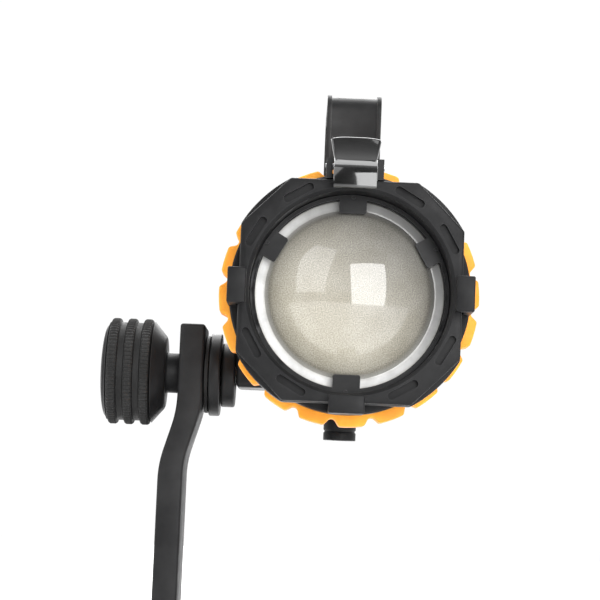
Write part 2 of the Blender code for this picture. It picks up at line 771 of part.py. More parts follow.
def focus_core():
    """Hub under the grip, and a sleeve with a helical slot for each cam pin."""
    back = flange_back + SLEEVE_LENGTH
    profile = [
        (hub_front, sleeve_bore),
        (back, sleeve_bore),
        (back, sleeve_radius),
        (hub_back, sleeve_radius),
        (hub_back, hub_radius),
        (hub_front, hub_radius),
    ]
    core = turned("focus_core", "Y", profile, "black_plastic", 40)
    half = CAM_PIN_RADIUS + CAM_CLEAR
    end_turn = math.degrees(half / sleeve_radius)
    cutters = bmesh.new()
    slope = FOCUS_TRAVEL / FOCUS_TURN
    lean = math.hypot(1.0, slope * math.degrees(1.0) / sleeve_radius)
    inside = sleeve_bore - OVERRUN
    outside = sleeve_radius + OVERRUN
    for side in (0, 180):
        sections = []
        for step in range(CAM_STEPS + 1):
            turn = -end_turn + (FOCUS_TURN + 2 * end_turn) * step / CAM_STEPS
            depth = pin_depth - slope * turn
            corners = []
            for radius, offset in ((inside, -1), (outside, -1), (outside, 1), (inside, 1)):
                x, z = polar(radius, side + turn)
                corners.append(cutters.verts.new((x, depth + offset * half * lean, z)))
            sections.append(corners)
        for first, second in zip(sections, sections[1:]):
            for index in range(4):
                other = (index + 1) % 4
                cutters.faces.new((first[index], first[other], second[other], second[index]))
        cutters.faces.new(sections[0][::-1])
        cutters.faces.new(sections[-1])
    return cut(core, new_object("cam_slots", cutters))


def focus_grip():
    """The lugged rubber ring."""
    front = hub_front - GAP - GRIP_OVERHANG
    pitch = 360 / LUG_COUNT
    outline = []
    for number in range(LUG_COUNT):
        middle = number * pitch + LUG_PHASE
        for offset, radius in (
            (-LUG_FOOT, grip_root),
            (-LUG_TOP, lug_radius),
            (LUG_TOP, lug_radius),
            (LUG_FOOT, grip_root),
        ):
            outline.append(polar(radius, middle + offset * pitch))
    made = prism("focus_grip", "Y", outline, front, front + GRIP_LENGTH, "orange_rubber")
    back = front + GRIP_LENGTH
    bore = drill("grip_bore", "Y", (0.0, 0.0), grip_bore, front - OVERRUN, back + OVERRUN, 40)
    return cut(made, bore)


def led_heat_sink():
    """Round base that slides in the guide tube, with parallel fins behind it."""
    back = CARRIAGE_DEPTH + CARRIAGE_BASE
    base = rod("led_heat_sink", "Y", (0.0, 0.0), carriage_radius, CARRIAGE_DEPTH, back, "aluminium", 28)
    fins = bmesh.new()
    pitch = 2 * carriage_radius * FIN_SPREAD / (FIN_COUNT - 1)
    for number in range(FIN_COUNT):
        middle = (number - (FIN_COUNT - 1) / 2) * pitch
        half_height = math.sqrt(carriage_radius**2 - (abs(middle) + FIN_THICKNESS) ** 2) * FIN_HEIGHT
        low = (middle - FIN_THICKNESS / 2, back - OVERRUN, -half_height)
        high = (middle + FIN_THICKNESS / 2, back + FIN_LENGTH, half_height)
        add_prism(fins, "Z", box_outline(low, high), low[2], high[2])
    boolean(base, new_object("sink_fins", fins), "UNION")
    bores = bmesh.new()
    hole = CAM_PIN_RADIUS + PIN_FIT
    for side in (-1, 1):
        ends = sorted((side * (carriage_radius - CAM_PIN_SEAT - GAP), side * (carriage_radius + OVERRUN)))
        add_bore(bores, "X", (pin_depth, 0.0), hole, *ends, 16)
    return cut(base, new_object("sink_bores", bores))


def cam_pin(name, side):
    ends = sorted((side * (carriage_radius - CAM_PIN_SEAT), side * pin_reach))
    return rod(name, "X", (pin_depth, 0.0), CAM_PIN_RADIUS, *ends, "steel", 16)


def led_board():
    back = CARRIAGE_DEPTH - GAP
    outline = rounded_outline(BOARD_SIZE, BOARD_SIZE, BOARD_SIZE * BOARD_CORNER, 3)
    return prism("led_board", "Y", outline, back - BOARD_THICKNESS, back, "board")


def led_emitter():
    back = CARRIAGE_DEPTH - GAP - BOARD_THICKNESS - GAP
    outline = rounded_outline(EMITTER_SIZE, EMITTER_SIZE, EMITTER_SIZE * EMITTER_CORNER, 2)
    return prism("led_emitter", "Y", outline, back - EMITTER_THICKNESS, back, "phosphor")


def collimator():
    """Cup on the carriage round the board, with a small lens in its mouth."""
    cup_bore = math.hypot(BOARD_SIZE, BOARD_SIZE) / 2 + GAP
    cup_radius = cup_bore + HOLDER_WALL
    back = CARRIAGE_DEPTH - GAP
    front = back - HOLDER_LENGTH
    seat = front + COLLIMATOR_EDGE + GAP * 2
    profile = [
        (back, cup_bore),
        (seat + HOLDER_LEDGE_THICKNESS, cup_bore),
        (seat + HOLDER_LEDGE_THICKNESS, COLLIMATOR_RADIUS - HOLDER_LEDGE),
        (seat, COLLIMATOR_RADIUS - HOLDER_LEDGE),
        (seat, COLLIMATOR_RADIUS + GAP),
        (front, COLLIMATOR_RADIUS + GAP),
        (front, cup_radius),
        (back, cup_radius),
    ]
    holder = turned("collimator_holder", "Y", profile, "black_metal", 20)
    lens_back_face = seat - GAP
    edge = lens_back_face - COLLIMATOR_EDGE
    shape = [(lens_back_face, 0.0), (lens_back_face, COLLIMATOR_RADIUS), (edge, COLLIMATOR_RADIUS)]
    ball = (COLLIMATOR_RADIUS**2 + COLLIMATOR_RISE**2) / (2 * COLLIMATOR_RISE)
    for step in range(COLLIMATOR_RINGS, -1, -1):
        angle = math.asin(COLLIMATOR_RADIUS / ball) * step / (COLLIMATOR_RINGS + 1)
        shape.append((edge - COLLIMATOR_RISE + ball * (1 - math.cos(angle)), ball * math.sin(angle)))
    return [holder, turned("collimator_lens", "Y", shape, "clear_glass", 20)]


def pad(name, middle):
    """A flat-topped block that a handle foot stands on."""
    half = HANDLE_FOOT / 2 + PAD_MARGIN
    low = (-HANDLE_WIDTH / 2, middle - half, housing_bore * PAD_ROOT)
    high = (HANDLE_WIDTH / 2, middle + half, housing_radius + PAD_RISE)
    return box(name, low, high)


def barrel_housing():
    centre = (0.0, 0.0)
    made = rod("barrel_housing", "Y", centre, housing_radius, housing_front, housing_back, "black_metal", 40)
    boolean(made, pad("front_pad", front_foot), "UNION")
    ends = (housing_front - OVERRUN, housing_back + OVERRUN)
    return cut(made, drill("housing_bore", "Y", centre, housing_bore, *ends, 44))


def rear_housing():
    """Finned section that closes the barrel and seats the guide tube."""
    fin_root = housing_radius - REAR_FIN_DEPTH
    profile = [(rear_front, 0.0), (rear_front, housing_radius)]
    spare = REAR_LENGTH - REAR_FIN_COUNT * REAR_FIN_PITCH
    for number in range(REAR_FIN_COUNT):
        start = rear_front + spare / 2 + number * REAR_FIN_PITCH
        profile += [
            (start, housing_radius),
            (start, fin_root),
            (start + REAR_FIN_PITCH / 2, fin_root),
            (start + REAR_FIN_PITCH / 2, housing_radius),
        ]
    profile += [(rear_back, housing_radius), (rear_back, 0.0)]
    made = turned("rear_housing", "Y", profile, "black_metal", 28)
    boolean(made, pad("rear_pad", rear_foot), "UNION")
    seat_end = rear_front + REAR_SEAT
    bore = [
        (rear_front - OVERRUN, 0.0),
        (rear_front - OVERRUN, guide_radius + GAP),
        (seat_end, guide_radius + GAP),
        (seat_end, guide_bore - REAR_SHOULDER),
        (rear_back + OVERRUN, guide_bore - REAR_SHOULDER),
        (rear_back + OVERRUN, 0.0),
    ]
    return cut(made, turned("rear_bore", "Y", bore, None, 34))


def rear_cover():
    """Dished lid with radial vents, and the screws that hold it."""
    outer = housing_radius - COVER_INSET
    back = cover_front + COVER_THICKNESS
    dish = outer - REAR_SCREW_INSET * COVER_RIM
    profile = [
        (cover_front, 0.0),
        (cover_front, outer),
        (back - COVER_EDGE, outer),
        (back, outer - COVER_EDGE),
        (back, dish),
        (back - COVER_DISH, dish - COVER_DISH),
        (back - COVER_DISH, 0.0),
    ]
    cover = turned("rear_cover", "Y", profile, "black_plastic", 32)
    vents = bmesh.new()
    middle = (dish * VENT_MIDDLE, 0.0)
    vent_outline = rounded_outline(dish * VENT_LENGTH, VENT_WIDTH, VENT_WIDTH / 2.1, 2, middle)
    for number in range(VENT_COUNT):
        turned_outline = rotated_outline(vent_outline, 360 * (number + 0.5) / VENT_COUNT)
        add_prism(vents, "Y", turned_outline, cover_front - OVERRUN, back + OVERRUN)
    screw_circle = outer - REAR_SCREW_INSET
    length = COVER_THICKNESS + REAR_SCREW_BITE
    hole = SCREW_RADIUS + PIN_FIT
    holes = bmesh.new()
    screws = []
    for number in range(4):
        spot = polar(screw_circle, 45 + 90 * number)
        name = "rear_screw_" + str(number + 1)
        made = screw(name, (0, 1, 0), SCREW_RADIUS, SCREW_HEAD_RADIUS, SCREW_HEAD_HEIGHT, length)
        screws.append(moved_mesh(made, Vector((spot[0], back + PIN_FIT, spot[1]))))
        add_bore(holes, "Y", spot, hole, back - length - GAP, back + OVERRUN, 16)
    cutter = new_object("rear_holes", holes)
    return [cut(cover, new_object("cover_vents", vents), cutter)] + screws, cutter


def strap_outline(inset, thickness):
    """The handle's side view (depth, height): two feet, two legs and a top, as a strap."""
    base = housing_radius + PAD_RISE + GAP
    top = base + HANDLE_RISE
    front = HANDLE_FRONT
    back = handle_back
    outer_r = HANDLE_BEND - inset
    inner_r = HANDLE_BEND - thickness
    foot_top = base + HANDLE_STRAP
    outer = [(front + inset, base)]
    outer += arc((front + HANDLE_BEND, top - HANDLE_BEND), outer_r, 180, 90, 5)
    outer += arc((back - HANDLE_BEND, top - HANDLE_BEND), outer_r, 90, 0, 5)
    outer += [(back - inset, base)]
    inner = [(back - HANDLE_FOOT, base), (back - HANDLE_FOOT, foot_top)]
    inner += [(back - thickness, foot_top)]
    inner += arc((back - HANDLE_BEND, top - HANDLE_BEND), inner_r, 0, 90, 5)
    inner += arc((front + HANDLE_BEND, top - HANDLE_BEND), inner_r, 90, 180, 5)
    inner += [(front + thickness, foot_top)]
    inner += [(front + HANDLE_FOOT, foot_top), (front + HANDLE_FOOT, base)]
    return outer + inner


def handle():
    """Channel strap: a flat web between two raised edges, on two feet turned inwards."""
    depth = HANDLE_STRAP + HANDLE_FLANGE_RISE
    half = HANDLE_WIDTH / 2
    made = prism("handle", "X", strap_outline(HANDLE_FLANGE_RISE, depth), -half, half, "charcoal_metal")
    edges = bmesh.new()
    for low in (-half, half - HANDLE_FLANGE):
        add_prism(edges, "X", strap_outline(0.0, depth - FLANGE_STEP), low, low + HANDLE_FLANGE)
    boolean(made, new_object("handle_edges", edges), "UNION")
    base = housing_radius + PAD_RISE + GAP
    length = HANDLE_STRAP + PAD_RISE + HOUSING_WALL * PAD_SCREW_BITE
    hole = SCREW_RADIUS + PIN_FIT
    screws = []
    cutters = []
    top = base + HANDLE_STRAP
    for name, spot in (
        ("handle_screw_front", (0.0, front_foot + FOOT_SCREW_SHIFT)),
        ("handle_screw_rear", (0.0, rear_foot - FOOT_SCREW_SHIFT)),
    ):
        head = (SCREW_HEAD_RADIUS, SCREW_HEAD_HEIGHT)
        fixing = screw(name, (0, 0, 1), SCREW_RADIUS, *head, length, "black_metal")
        screws.append(moved_mesh(fixing, Vector((*spot, top + PIN_FIT))))
        cutters.append(drill(name + "_hole", "Z", spot, hole, top - length - GAP, top + OVERRUN))
    return [cut(made, *cutters)] + screws, cutters


def power_inlet():
    """Stub socket under the barrel: shell, insulator and two pins."""
    top = -(housing_radius + GAP)
    low = top - INLET_DROP
    neck_top = -(guide_radius + GAP * 3)
    centre = (0.0, INLET_DEPTH)
    profile = [
        (low, INLET_BORE),
        (low, INLET_RADIUS - INLET_EDGE),
        (low + INLET_EDGE, INLET_RADIUS),
        (top, INLET_RADIUS),
        (top, INLET_NECK),
        (neck_top, INLET_NECK),
        (neck_top, INLET_BORE),
    ]
    shell = turned("power_inlet", "Z", profile, "black_plastic", 20, centre)
    face = low + INLET_RECESS
    core_radius = INLET_BORE - PIN_FIT
    insulator = rod("inlet_insulator", "Z", centre, core_radius, face, neck_top, "insulator", 20)
    pieces = [shell, insulator]
    bores = bmesh.new()
    pin_low = low + INLET_PIN_SETBACK
    pin_top = face + INLET_PIN_SEAT
    for name, side in (("inlet_pin_left", -1), ("inlet_pin_right", 1)):
        spot = (side * INLET_PIN_SPACING / 2, INLET_DEPTH)
        pieces.append(rod(name, "Z", spot, INLET_PIN_RADIUS, pin_low, pin_top, "brass", 8))
        add_bore(bores, "Z", spot, INLET_PIN_RADIUS + PIN_FIT, face - OVERRUN, pin_top + GAP, 8)
    cut(insulator, new_object("inlet_bores", bores))
    wall_low = top - 2 * OVERRUN
    wall_hole = drill("inlet_wall_hole", "Z", centre, INLET_NECK + GAP, wall_low, -guide_radius, 32)
    return pieces, wall_hole


def tilt_bracket():
    """Casting between the barrel's lower left and the tilt joint, with two screws from below."""
    left = head_disc_x + GAP
    low = -TILT_DROP - BRACKET_BELOW
    high = -TILT_DROP + BRACKET_ABOVE
    right = -math.sqrt(max(housing_radius**2 - low**2, 0.0)) * BRACKET_FOOT
    outline = [(left, low), (right, low), (right, low + BRACKET_RIGHT_RISE)]
    outline += [(left + BRACKET_CHAMFER, high + BRACKET_CHAMFER), (left, high)]
    half = BRACKET_LENGTH / 2
    made = prism("tilt_bracket", "Y", outline, TILT_DEPTH - half, TILT_DEPTH + half, "black_metal")
    reach = half + BRACKET_SEAT_SPARE
    ends = (TILT_DEPTH - reach, TILT_DEPTH + reach)
    seat = drill("bracket_seat", "Y", (0.0, 0.0), housing_radius + GAP, *ends, 40)
    bolt_end = left + BOLT_ENGAGE + GAP
    bolt_spot = (TILT_DEPTH, -TILT_DROP)
    bore = drill("bracket_bore", "X", bolt_spot, BOLT_RADIUS + PIN_FIT, left - OVERRUN, bolt_end)
    screw_x = (left + right) / 2 + BRACKET_SCREW_SHIFT
    head = BRACKET_SCREW_HEAD
    radius = SCREW_RADIUS * BRACKET_SCREW_SCALE
    head_radius = SCREW_HEAD_RADIUS * BRACKET_SCREW_SCALE
    surface = -math.sqrt(housing_radius**2 - screw_x**2)
    length = surface - low + HOUSING_WALL * WALL_BITE - head
    screws = []
    cutters = []
    for name, side in (("bracket_screw_front", -1), ("bracket_screw_rear", 1)):
        spot = (screw_x, TILT_DEPTH + side * BRACKET_SCREW_SPACING / 2)
        fixing = screw(name, (0, 0, -1), radius, head_radius, head, length, "black_metal")
        screws.append(moved_mesh(fixing, Vector((*spot, low + head - PIN_FIT))))
        top = low + head + length + GAP
        cutters.append(drill(name + "_hole", "Z", spot, radius + PIN_FIT, low - OVERRUN, top))
        sink = drill(name + "_sink", "Z", spot, head_radius + GAP, low - OVERRUN, low + head)
        cut(made, sink)
    return [cut(made, seat, bore, *cutters)] + screws, cutters


def tilt_disc(name, x, thickness, radius, colour, lip=0.0006, steps=28):
    """A round plate that runs outwards from x, bored for the bolt."""
    hole = BOLT_RADIUS + PIN_FIT
    far = x - thickness
    profile = [(far, hole), (far, radius - lip), (far + lip, radius)]
    profile += [(x - lip, radius), (x, radius - lip), (x, hole)]
    return turned(name, "X", profile, colour, steps, (0.0, tilt_height))


def arm_outline():
    """The arm's front view (x, z): down, out at the bend, down, and in along the foot."""
    thick = ARM_THICKNESS
    inner = arm_x
    low_inner = inner - BEND_SHIFT
    foot_top = SOCKET_HEIGHT + GAP + thick
    top = tilt_height + ARM_TOP
    start = tilt_height - BEND_START
    end = tilt_height - BEND_END
    lean = math.atan2(BEND_SHIFT, BEND_END - BEND_START)
    step = thick * math.tan(lean / 2)
    right = FOOT_REACH
    points = [(inner, top), (inner, start), (low_inner, end)]
    points += arc((low_inner + FOOT_BEND, foot_top + FOOT_BEND), FOOT_BEND, 180, 270, 6)
    points += [(right, foot_top), (right, foot_top - thick)]
    points += arc((low_inner + FOOT_BEND, foot_top + FOOT_BEND), FOOT_BEND + thick, 270, 180, 8)
    points += [(low_inner - thick, end - step), (inner - thick, start - step), (inner - thick, top)]
    return points


def yoke_arm():
    half = ARM_WIDTH / 2
    made = prism("yoke_arm", "Y", arm_outline(), -half, half, "charcoal_metal")
    bevelled(made, ARM_CORNER, 2, 50)
    far = arm_x - ARM_THICKNESS
    hole = BOLT_RADIUS + PIN_FIT
    bolt = drill("arm_bore", "X", (0.0, tilt_height), hole, far - OVERRUN, arm_x + OVERRUN)
    low = SOCKET_HEIGHT + GAP
    high = low + ARM_THICKNESS
    foot = drill("foot_bore", "Z", (0.0, 0.0), SOCKET_BOLT_RADIUS + PIN_FIT, low - OVERRUN, high + OVERRUN)
    return cut(made, bolt, foot)


def stand_socket():
    """Bored for a stand's spigot from below, with a side hole for the lock screw."""
    edge = SOCKET_EDGE
    profile = [
        (0.0, SPIGOT_RADIUS + edge),
        (0.0, SOCKET_RADIUS - edge),
        (edge, SOCKET_RADIUS),
        (SOCKET_HEIGHT - edge, SOCKET_RADIUS),
        (SOCKET_HEIGHT, SOCKET_RADIUS - edge),
        (SOCKET_HEIGHT, 0.0),
        (SPIGOT_DEPTH, 0.0),
        (SPIGOT_DEPTH, SPIGOT_RADIUS),
        (edge, SPIGOT_RADIUS),
    ]
    made = turned("stand_socket", "Z", profile, "black_metal", 28)
    lock_ends = (SPIGOT_RADIUS / 2, SOCKET_RADIUS + OVERRUN)
    side = drill("lock_bore", "X", (0.0, LOCK_HEIGHT), LOCK_SCREW_RADIUS + PIN_FIT, *lock_ends, 15)
    bolt_ends = (SPIGOT_DEPTH - OVERRUN, SOCKET_HEIGHT + OVERRUN)
    bolt = drill("socket_bolt_bore", "Z", (0.0, 0.0), SOCKET_BOLT_RADIUS + PIN_FIT, *bolt_ends)
    return cut(made, side, bolt)


def socket_bolt():
    length = ARM_THICKNESS + GAP + (SOCKET_HEIGHT - SPIGOT_DEPTH) * SOCKET_BOLT_BITE
    head = (SOCKET_BOLT_HEAD, SOCKET_BOLT_HEAD_HEIGHT)
    made = screw("socket_bolt", (0, 0, 1), SOCKET_BOLT_RADIUS, *head, length)
    return moved_mesh(made, Vector((0.0, 0.0, SOCKET_HEIGHT + GAP + ARM_THICKNESS + PIN_FIT)))


def stand_lock():
    """Side screw with its point in the bore's wall, and a fluted knob on it."""
    centre = (0.0, LOCK_HEIGHT)
    end = lock_x + LOCK_KNOB_LENGTH * LOCK_SCREW_SEAT
    bolt = rod("stand_lock_screw", "X", centre, LOCK_SCREW_RADIUS, SPIGOT_RADIUS + GAP, end, "steel", 16)
    outline = []
    for step in range(LOCK_LOBES * 4):
        swing = math.tau * step / (LOCK_LOBES * 4)
        radius = LOCK_KNOB_RADIUS * (1 - LOCK_LOBE_DEPTH * (1 - math.cos(LOCK_LOBES * swing)))
        outline.append((radius * math.cos(swing), LOCK_HEIGHT + radius * math.sin(swing)))
    knob = prism("stand_lock_knob", "X", outline, lock_x, lock_x + LOCK_KNOB_LENGTH, "black_plastic")
    bevelled(knob, LOCK_EDGE, 1)
    hole = LOCK_SCREW_RADIUS + PIN_FIT
    return [bolt, cut(knob, drill("lock_knob_bore", "X", centre, hole, lock_x - OVERRUN, end + GAP))]


def tilt_knob():
    """Collar, cone and core in one piece, a ribbed rubber grip round it, and the bolt."""
    centre = (0.0, tilt_height)
    end = knob_x - KNOB_LENGTH
    grip_bore_radius = KNOB_RADIUS - KNOB_GRIP_WALL
    grip_near = knob_x - KNOB_CONE_LENGTH
    grip_far = grip_near - KNOB_GRIP_LENGTH
    hole = BOLT_RADIUS + PIN_FIT
    bolt_far = knob_x - KNOB_LENGTH * KNOB_BOLT_SEAT
    core = [
        (collar_x, hole),
        (bolt_far - GAP, hole),
        (bolt_far - GAP, 0.0),
        (end, 0.0),
        *[(end + KNOB_DOME * rise, KNOB_RADIUS * share) for rise, share in KNOB_DOME_PROFILE],
        (grip_far - GAP, KNOB_RADIUS * KNOB_END_RADIUS),
        (grip_far - GAP, grip_bore_radius - GAP),
        (grip_near + GAP, grip_bore_radius - GAP),
        (grip_near + GAP, KNOB_RADIUS * KNOB_SHOULDER_RADIUS),
        (knob_x, KNOB_NOSE_RADIUS),
        (knob_x, KNOB_COLLAR_RADIUS),
        (collar_x, KNOB_COLLAR_RADIUS),
    ]
    pieces = [turned("tilt_knob_core", "X", core, "black_plastic", 28, centre)]
    share = KNOB_GRIP_LENGTH / (KNOB_RIB_COUNT * 3 - 1)
    low = KNOB_RADIUS - KNOB_GROOVE
    grip = [(grip_far, grip_bore_radius)]
    for number in range(KNOB_RIB_COUNT):
        start = grip_far + number * 3 * share
        grip += [(start, low), (start + share * RIB_SLOPE, KNOB_RADIUS)]
        grip += [(start + share * (2 - RIB_SLOPE), KNOB_RADIUS), (start + share * 2, low)]
    grip.append((grip_near, grip_bore_radius))
    pieces.append(turned("tilt_knob_grip", "X", grip, "black_rubber", 32, centre))
    bolt_near = head_disc_x + GAP + BOLT_ENGAGE
    pieces.append(rod("tilt_bolt", "X", centre, BOLT_RADIUS, bolt_far, bolt_near, "steel", 16))
    return pieces


def build():
    clear_scene()
    head = empty("tilt_axis", (arm_disc_x, 0.0, tilt_height))
    focus = empty("focus_axis", head_frame + Vector((0.0, hub_front, 0.0)))
    carriage = empty("carriage_axis", head_frame + Vector((0.0, CARRIAGE_DEPTH, 0.0)))
    latch = empty("latch_axis", head_frame + Vector(latch_pivot))
    knob = empty("tilt_knob_axis", (collar_x, 0.0, tilt_height))
    lock = empty("stand_lock_axis", (lock_x, 0.0, LOCK_HEIGHT))

    retainer, retainer_holes = lens_retainer()
    cover, cover_holes = rear_cover()
    grab, grab_holes = handle()
    inlet, inlet_hole = power_inlet()
    bracket, bracket_holes = tilt_bracket()
    barrel = cut(barrel_housing(), grab_holes[0], inlet_hole, *bracket_holes)
    rear = cut(rear_housing(), grab_holes[1], cover_holes)
    claws = [claw("claw_right", 0), claw("claw_left", 180), claw("claw_bottom", 270)]
    front = [cut(front_ring(), retainer_holes), lens(), lens_gasket()]
    catch = [latch_bracket(), latch_pin(), latch_spring()]
    head_pieces = front + catch + claws + retainer + cover + grab + inlet + bracket
    ride(head, head_frame, *head_pieces, barrel, rear, guide_tube())
    disc = tilt_disc("head_disc", head_disc_x, HEAD_DISC_THICKNESS, HEAD_DISC_RADIUS, "black_metal")
    ride(head, (0.0, 0.0, 0.0), disc)
    ride(focus, head_frame, focus_core(), focus_grip())
    light = [led_heat_sink(), led_board(), led_emitter()] + collimator()
    ride(carriage, head_frame, *light, cam_pin("cam_pin_left", -1), cam_pin("cam_pin_right", 1))
    ride(latch, head_frame, latch_lever())
    ride(knob, (0.0, 0.0, 0.0), *tilt_knob())
    ride(lock, (0.0, 0.0, 0.0), *stand_lock())
    tilt_disc("arm_disc", arm_disc_x, ARM_DISC_THICKNESS, ARM_DISC_RADIUS, "black_metal")
    tilt_disc("arm_washer", washer_x, WASHER_THICKNESS, WASHER_RADIUS, "black_rubber", 0.0003)
    yoke_arm()
    stand_socket()
    socket_bolt()


build()
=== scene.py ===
import json
import math

import bpy
from mathutils import Matrix, Vector


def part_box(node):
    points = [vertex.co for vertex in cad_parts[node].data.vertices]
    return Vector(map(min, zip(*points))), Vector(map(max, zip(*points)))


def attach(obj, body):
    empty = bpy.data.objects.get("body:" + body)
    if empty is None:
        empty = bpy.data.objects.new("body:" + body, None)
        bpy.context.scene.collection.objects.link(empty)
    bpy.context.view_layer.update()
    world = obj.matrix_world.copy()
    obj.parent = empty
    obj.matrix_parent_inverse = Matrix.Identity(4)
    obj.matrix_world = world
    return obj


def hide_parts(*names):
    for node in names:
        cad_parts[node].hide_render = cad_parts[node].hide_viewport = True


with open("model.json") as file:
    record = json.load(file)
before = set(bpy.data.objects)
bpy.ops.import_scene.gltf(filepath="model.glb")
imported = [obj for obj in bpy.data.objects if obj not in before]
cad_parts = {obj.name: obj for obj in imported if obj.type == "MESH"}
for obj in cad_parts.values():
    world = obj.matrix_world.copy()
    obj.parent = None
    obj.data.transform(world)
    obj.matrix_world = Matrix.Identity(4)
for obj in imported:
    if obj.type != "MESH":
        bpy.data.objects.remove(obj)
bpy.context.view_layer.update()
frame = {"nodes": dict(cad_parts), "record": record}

mm = 0.001
gap = 0.3  # between meshes that touch, in mm
boltHole = 3.1  # radius round the bolts, in mm
screwHole = 1.6  # radius round the small screws, in mm
pilotHole = 1.3  # radius round their threads, in mm
tiny = 1e-7  # the radius of a pole before its points are merged
weld = 2e-6  # how far apart points are merged


# measures read from the frame
def low(node):
    return Vector(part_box(node)[0])


def high(node):
    return Vector(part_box(node)[1])


def middle(node):
    return (low(node) + high(node)) / 2


lampHeight = middle("lens").z  # the lamp's axis runs along Y at this height
rim = low("front_ring").y  # front plane of the ring
tiltHeight = middle("tilt_bolt").z


def inHead(x, depth, rise):
    return Vector((x, rim + depth, lampHeight + rise))


# small tools for modelling
def startFresh():
    if bpy.context.object and bpy.context.object.mode != "OBJECT":
        bpy.ops.object.mode_set(mode="OBJECT")
    bpy.ops.object.select_all(action="DESELECT")


def pick(*pieces):
    startFresh()
    for piece in pieces:
        piece.select_set(True)
    bpy.context.view_layer.objects.active = pieces[0]


# puts place and turn into the mesh
def keepPlace(piece):
    pick(piece)
    bpy.ops.object.transform_apply(location=True, rotation=True, scale=True)


def useModifiers(piece):
    pick(piece)
    for modifier in list(piece.modifiers):
        bpy.ops.object.modifier_apply(modifier=modifier.name)


def roundEdges(piece, width, segments=2, limit=35):
    bevel = piece.modifiers.new("roundEdges", "BEVEL")
    bevel.width = width
    bevel.segments = segments
    bevel.limit_method = "ANGLE"
    bevel.angle_limit = math.radians(limit)
    bevel.harden_normals = False
    useModifiers(piece)


def smoothOver(piece, angle=32):
    pick(piece)
    bpy.ops.object.shade_smooth_by_angle(angle=math.radians(angle))


# a boolean with a helper that is then thrown away
def combine(piece, other, operation):
    step = piece.modifiers.new("combine", "BOOLEAN")
    step.operation = operation
    step.object = other
    useModifiers(piece)
    bpy.data.objects.remove(other, do_unlink=True)
    return piece


def joined(name, pieces):
    pick(*pieces)
    bpy.ops.object.join()
    pieces[0].name = name
    return pieces[0]


turns = {"X": (0, math.pi / 2, 0), "Y": (-math.pi / 2, 0, 0), "Z": (0, 0, 0)}


# extrudes a ring along the profile of (along, radius), then turns it onto its axis
def lathe(name, axis, place, profile, steps=128, closed=True):
    startFresh()
    along, radius = profile[0]
    bpy.ops.mesh.primitive_circle_add(vertices=steps, radius=max(radius, tiny), location=(0, 0, along))
    piece = bpy.context.object
    piece.name = name
    keepPlace(piece)
    bpy.ops.object.mode_set(mode="EDIT")
    bpy.ops.mesh.select_mode(type="VERT")
    bpy.ops.mesh.select_all(action="SELECT")
    for nextAlong, nextRadius in profile[1:]:
        bpy.ops.mesh.extrude_region_move(TRANSFORM_OT_translate={"value": (0, 0, nextAlong - along)})
        factor = max(nextRadius, tiny) / max(radius, tiny)
        bpy.ops.transform.resize(value=(factor, factor, 1), center_override=(0, 0, nextAlong))
        along, radius = nextAlong, nextRadius
    if closed:
        bpy.ops.mesh.select_all(action="DESELECT")
        bpy.ops.mesh.select_non_manifold()
        bpy.ops.mesh.bridge_edge_loops()
    bpy.ops.mesh.select_all(action="SELECT")
    bpy.ops.mesh.remove_doubles(threshold=weld)
    bpy.ops.mesh.normals_make_consistent(inside=False)
    bpy.ops.object.mode_set(mode="OBJECT")
    piece.rotation_euler = turns[axis]
    piece.location = place
    keepPlace(piece)
    return piece


# cuts a round hole from start to end along the axis
def cutHole(piece, axis, place, start, end, radius, steps=24):
    profile = [(start, 0), (start, radius), (end, radius), (end, 0)]
    return combine(piece, lathe("hole", axis, place, profile, steps, False), "DIFFERENCE")


def inMm(points):
    return [(first * mm, second * mm) for first, second in points]


# a flat outline, filled and extruded along X, Y or Z
def slab(name, axis, outline, lowEnd, highEnd):
    lift = {
        "X": lambda p, t: (t, p[0], p[1]),
        "Y": lambda p, t: (p[0], t, p[1]),
        "Z": lambda p, t: (p[0], p[1], t),
    }[axis]
    startFresh()
    bpy.ops.mesh.primitive_circle_add(vertices=len(outline), radius=0.01, fill_type="NGON")
    piece = bpy.context.object
    piece.name = name
    for vertex, point in zip(piece.data.vertices, outline):
        vertex.co = lift(point, lowEnd)
    bpy.ops.object.mode_set(mode="EDIT")
    bpy.ops.mesh.select_all(action="SELECT")
    step = Vector(lift((0, 0), highEnd - lowEnd))
    bpy.ops.mesh.extrude_region_move(TRANSFORM_OT_translate={"value": step})
    bpy.ops.mesh.select_all(action="SELECT")
    bpy.ops.mesh.normals_make_consistent(inside=False)
    bpy.ops.object.mode_set(mode="OBJECT")
    return piece


def block(name, lowCorner, highCorner):
    startFresh()
    lowCorner, highCorner = Vector(lowCorner), Vector(highCorner)
    bpy.ops.mesh.primitive_cube_add(size=1, location=(lowCorner + highCorner) / 2)
    piece = bpy.context.object
    piece.name = name
    piece.scale = highCorner - lowCorner
    keepPlace(piece)
    return piece


def arc(centre, radius, start, end, steps):
    points = []
    for step in range(steps + 1):
        angle = math.radians(start + (end - start) * step / steps)
        points.append((centre[0] + radius * math.cos(angle), centre[1] + radius * math.sin(angle)))
    return points


def polar(radius, degrees):
    return (radius * math.cos(math.radians(degrees)), radius * math.sin(math.radians(degrees)))


def roundedOutline(width, height, radius, steps=5, centre=(0, 0)):
    points = []
    for corner, (sideX, sideY) in enumerate(((1, 1), (-1, 1), (-1, -1), (1, -1))):
        spot = (centre[0] + sideX * (width / 2 - radius), centre[1] + sideY * (height / 2 - radius))
        points += arc(spot, radius, 90 * corner, 90 * corner + 90, steps)
    return points


def spunOutline(outline, degrees, centre=(0, 0)):
    turn = Matrix.Rotation(math.radians(degrees), 2)
    return [tuple(turn @ Vector(point) + Vector(centre)) for point in outline]


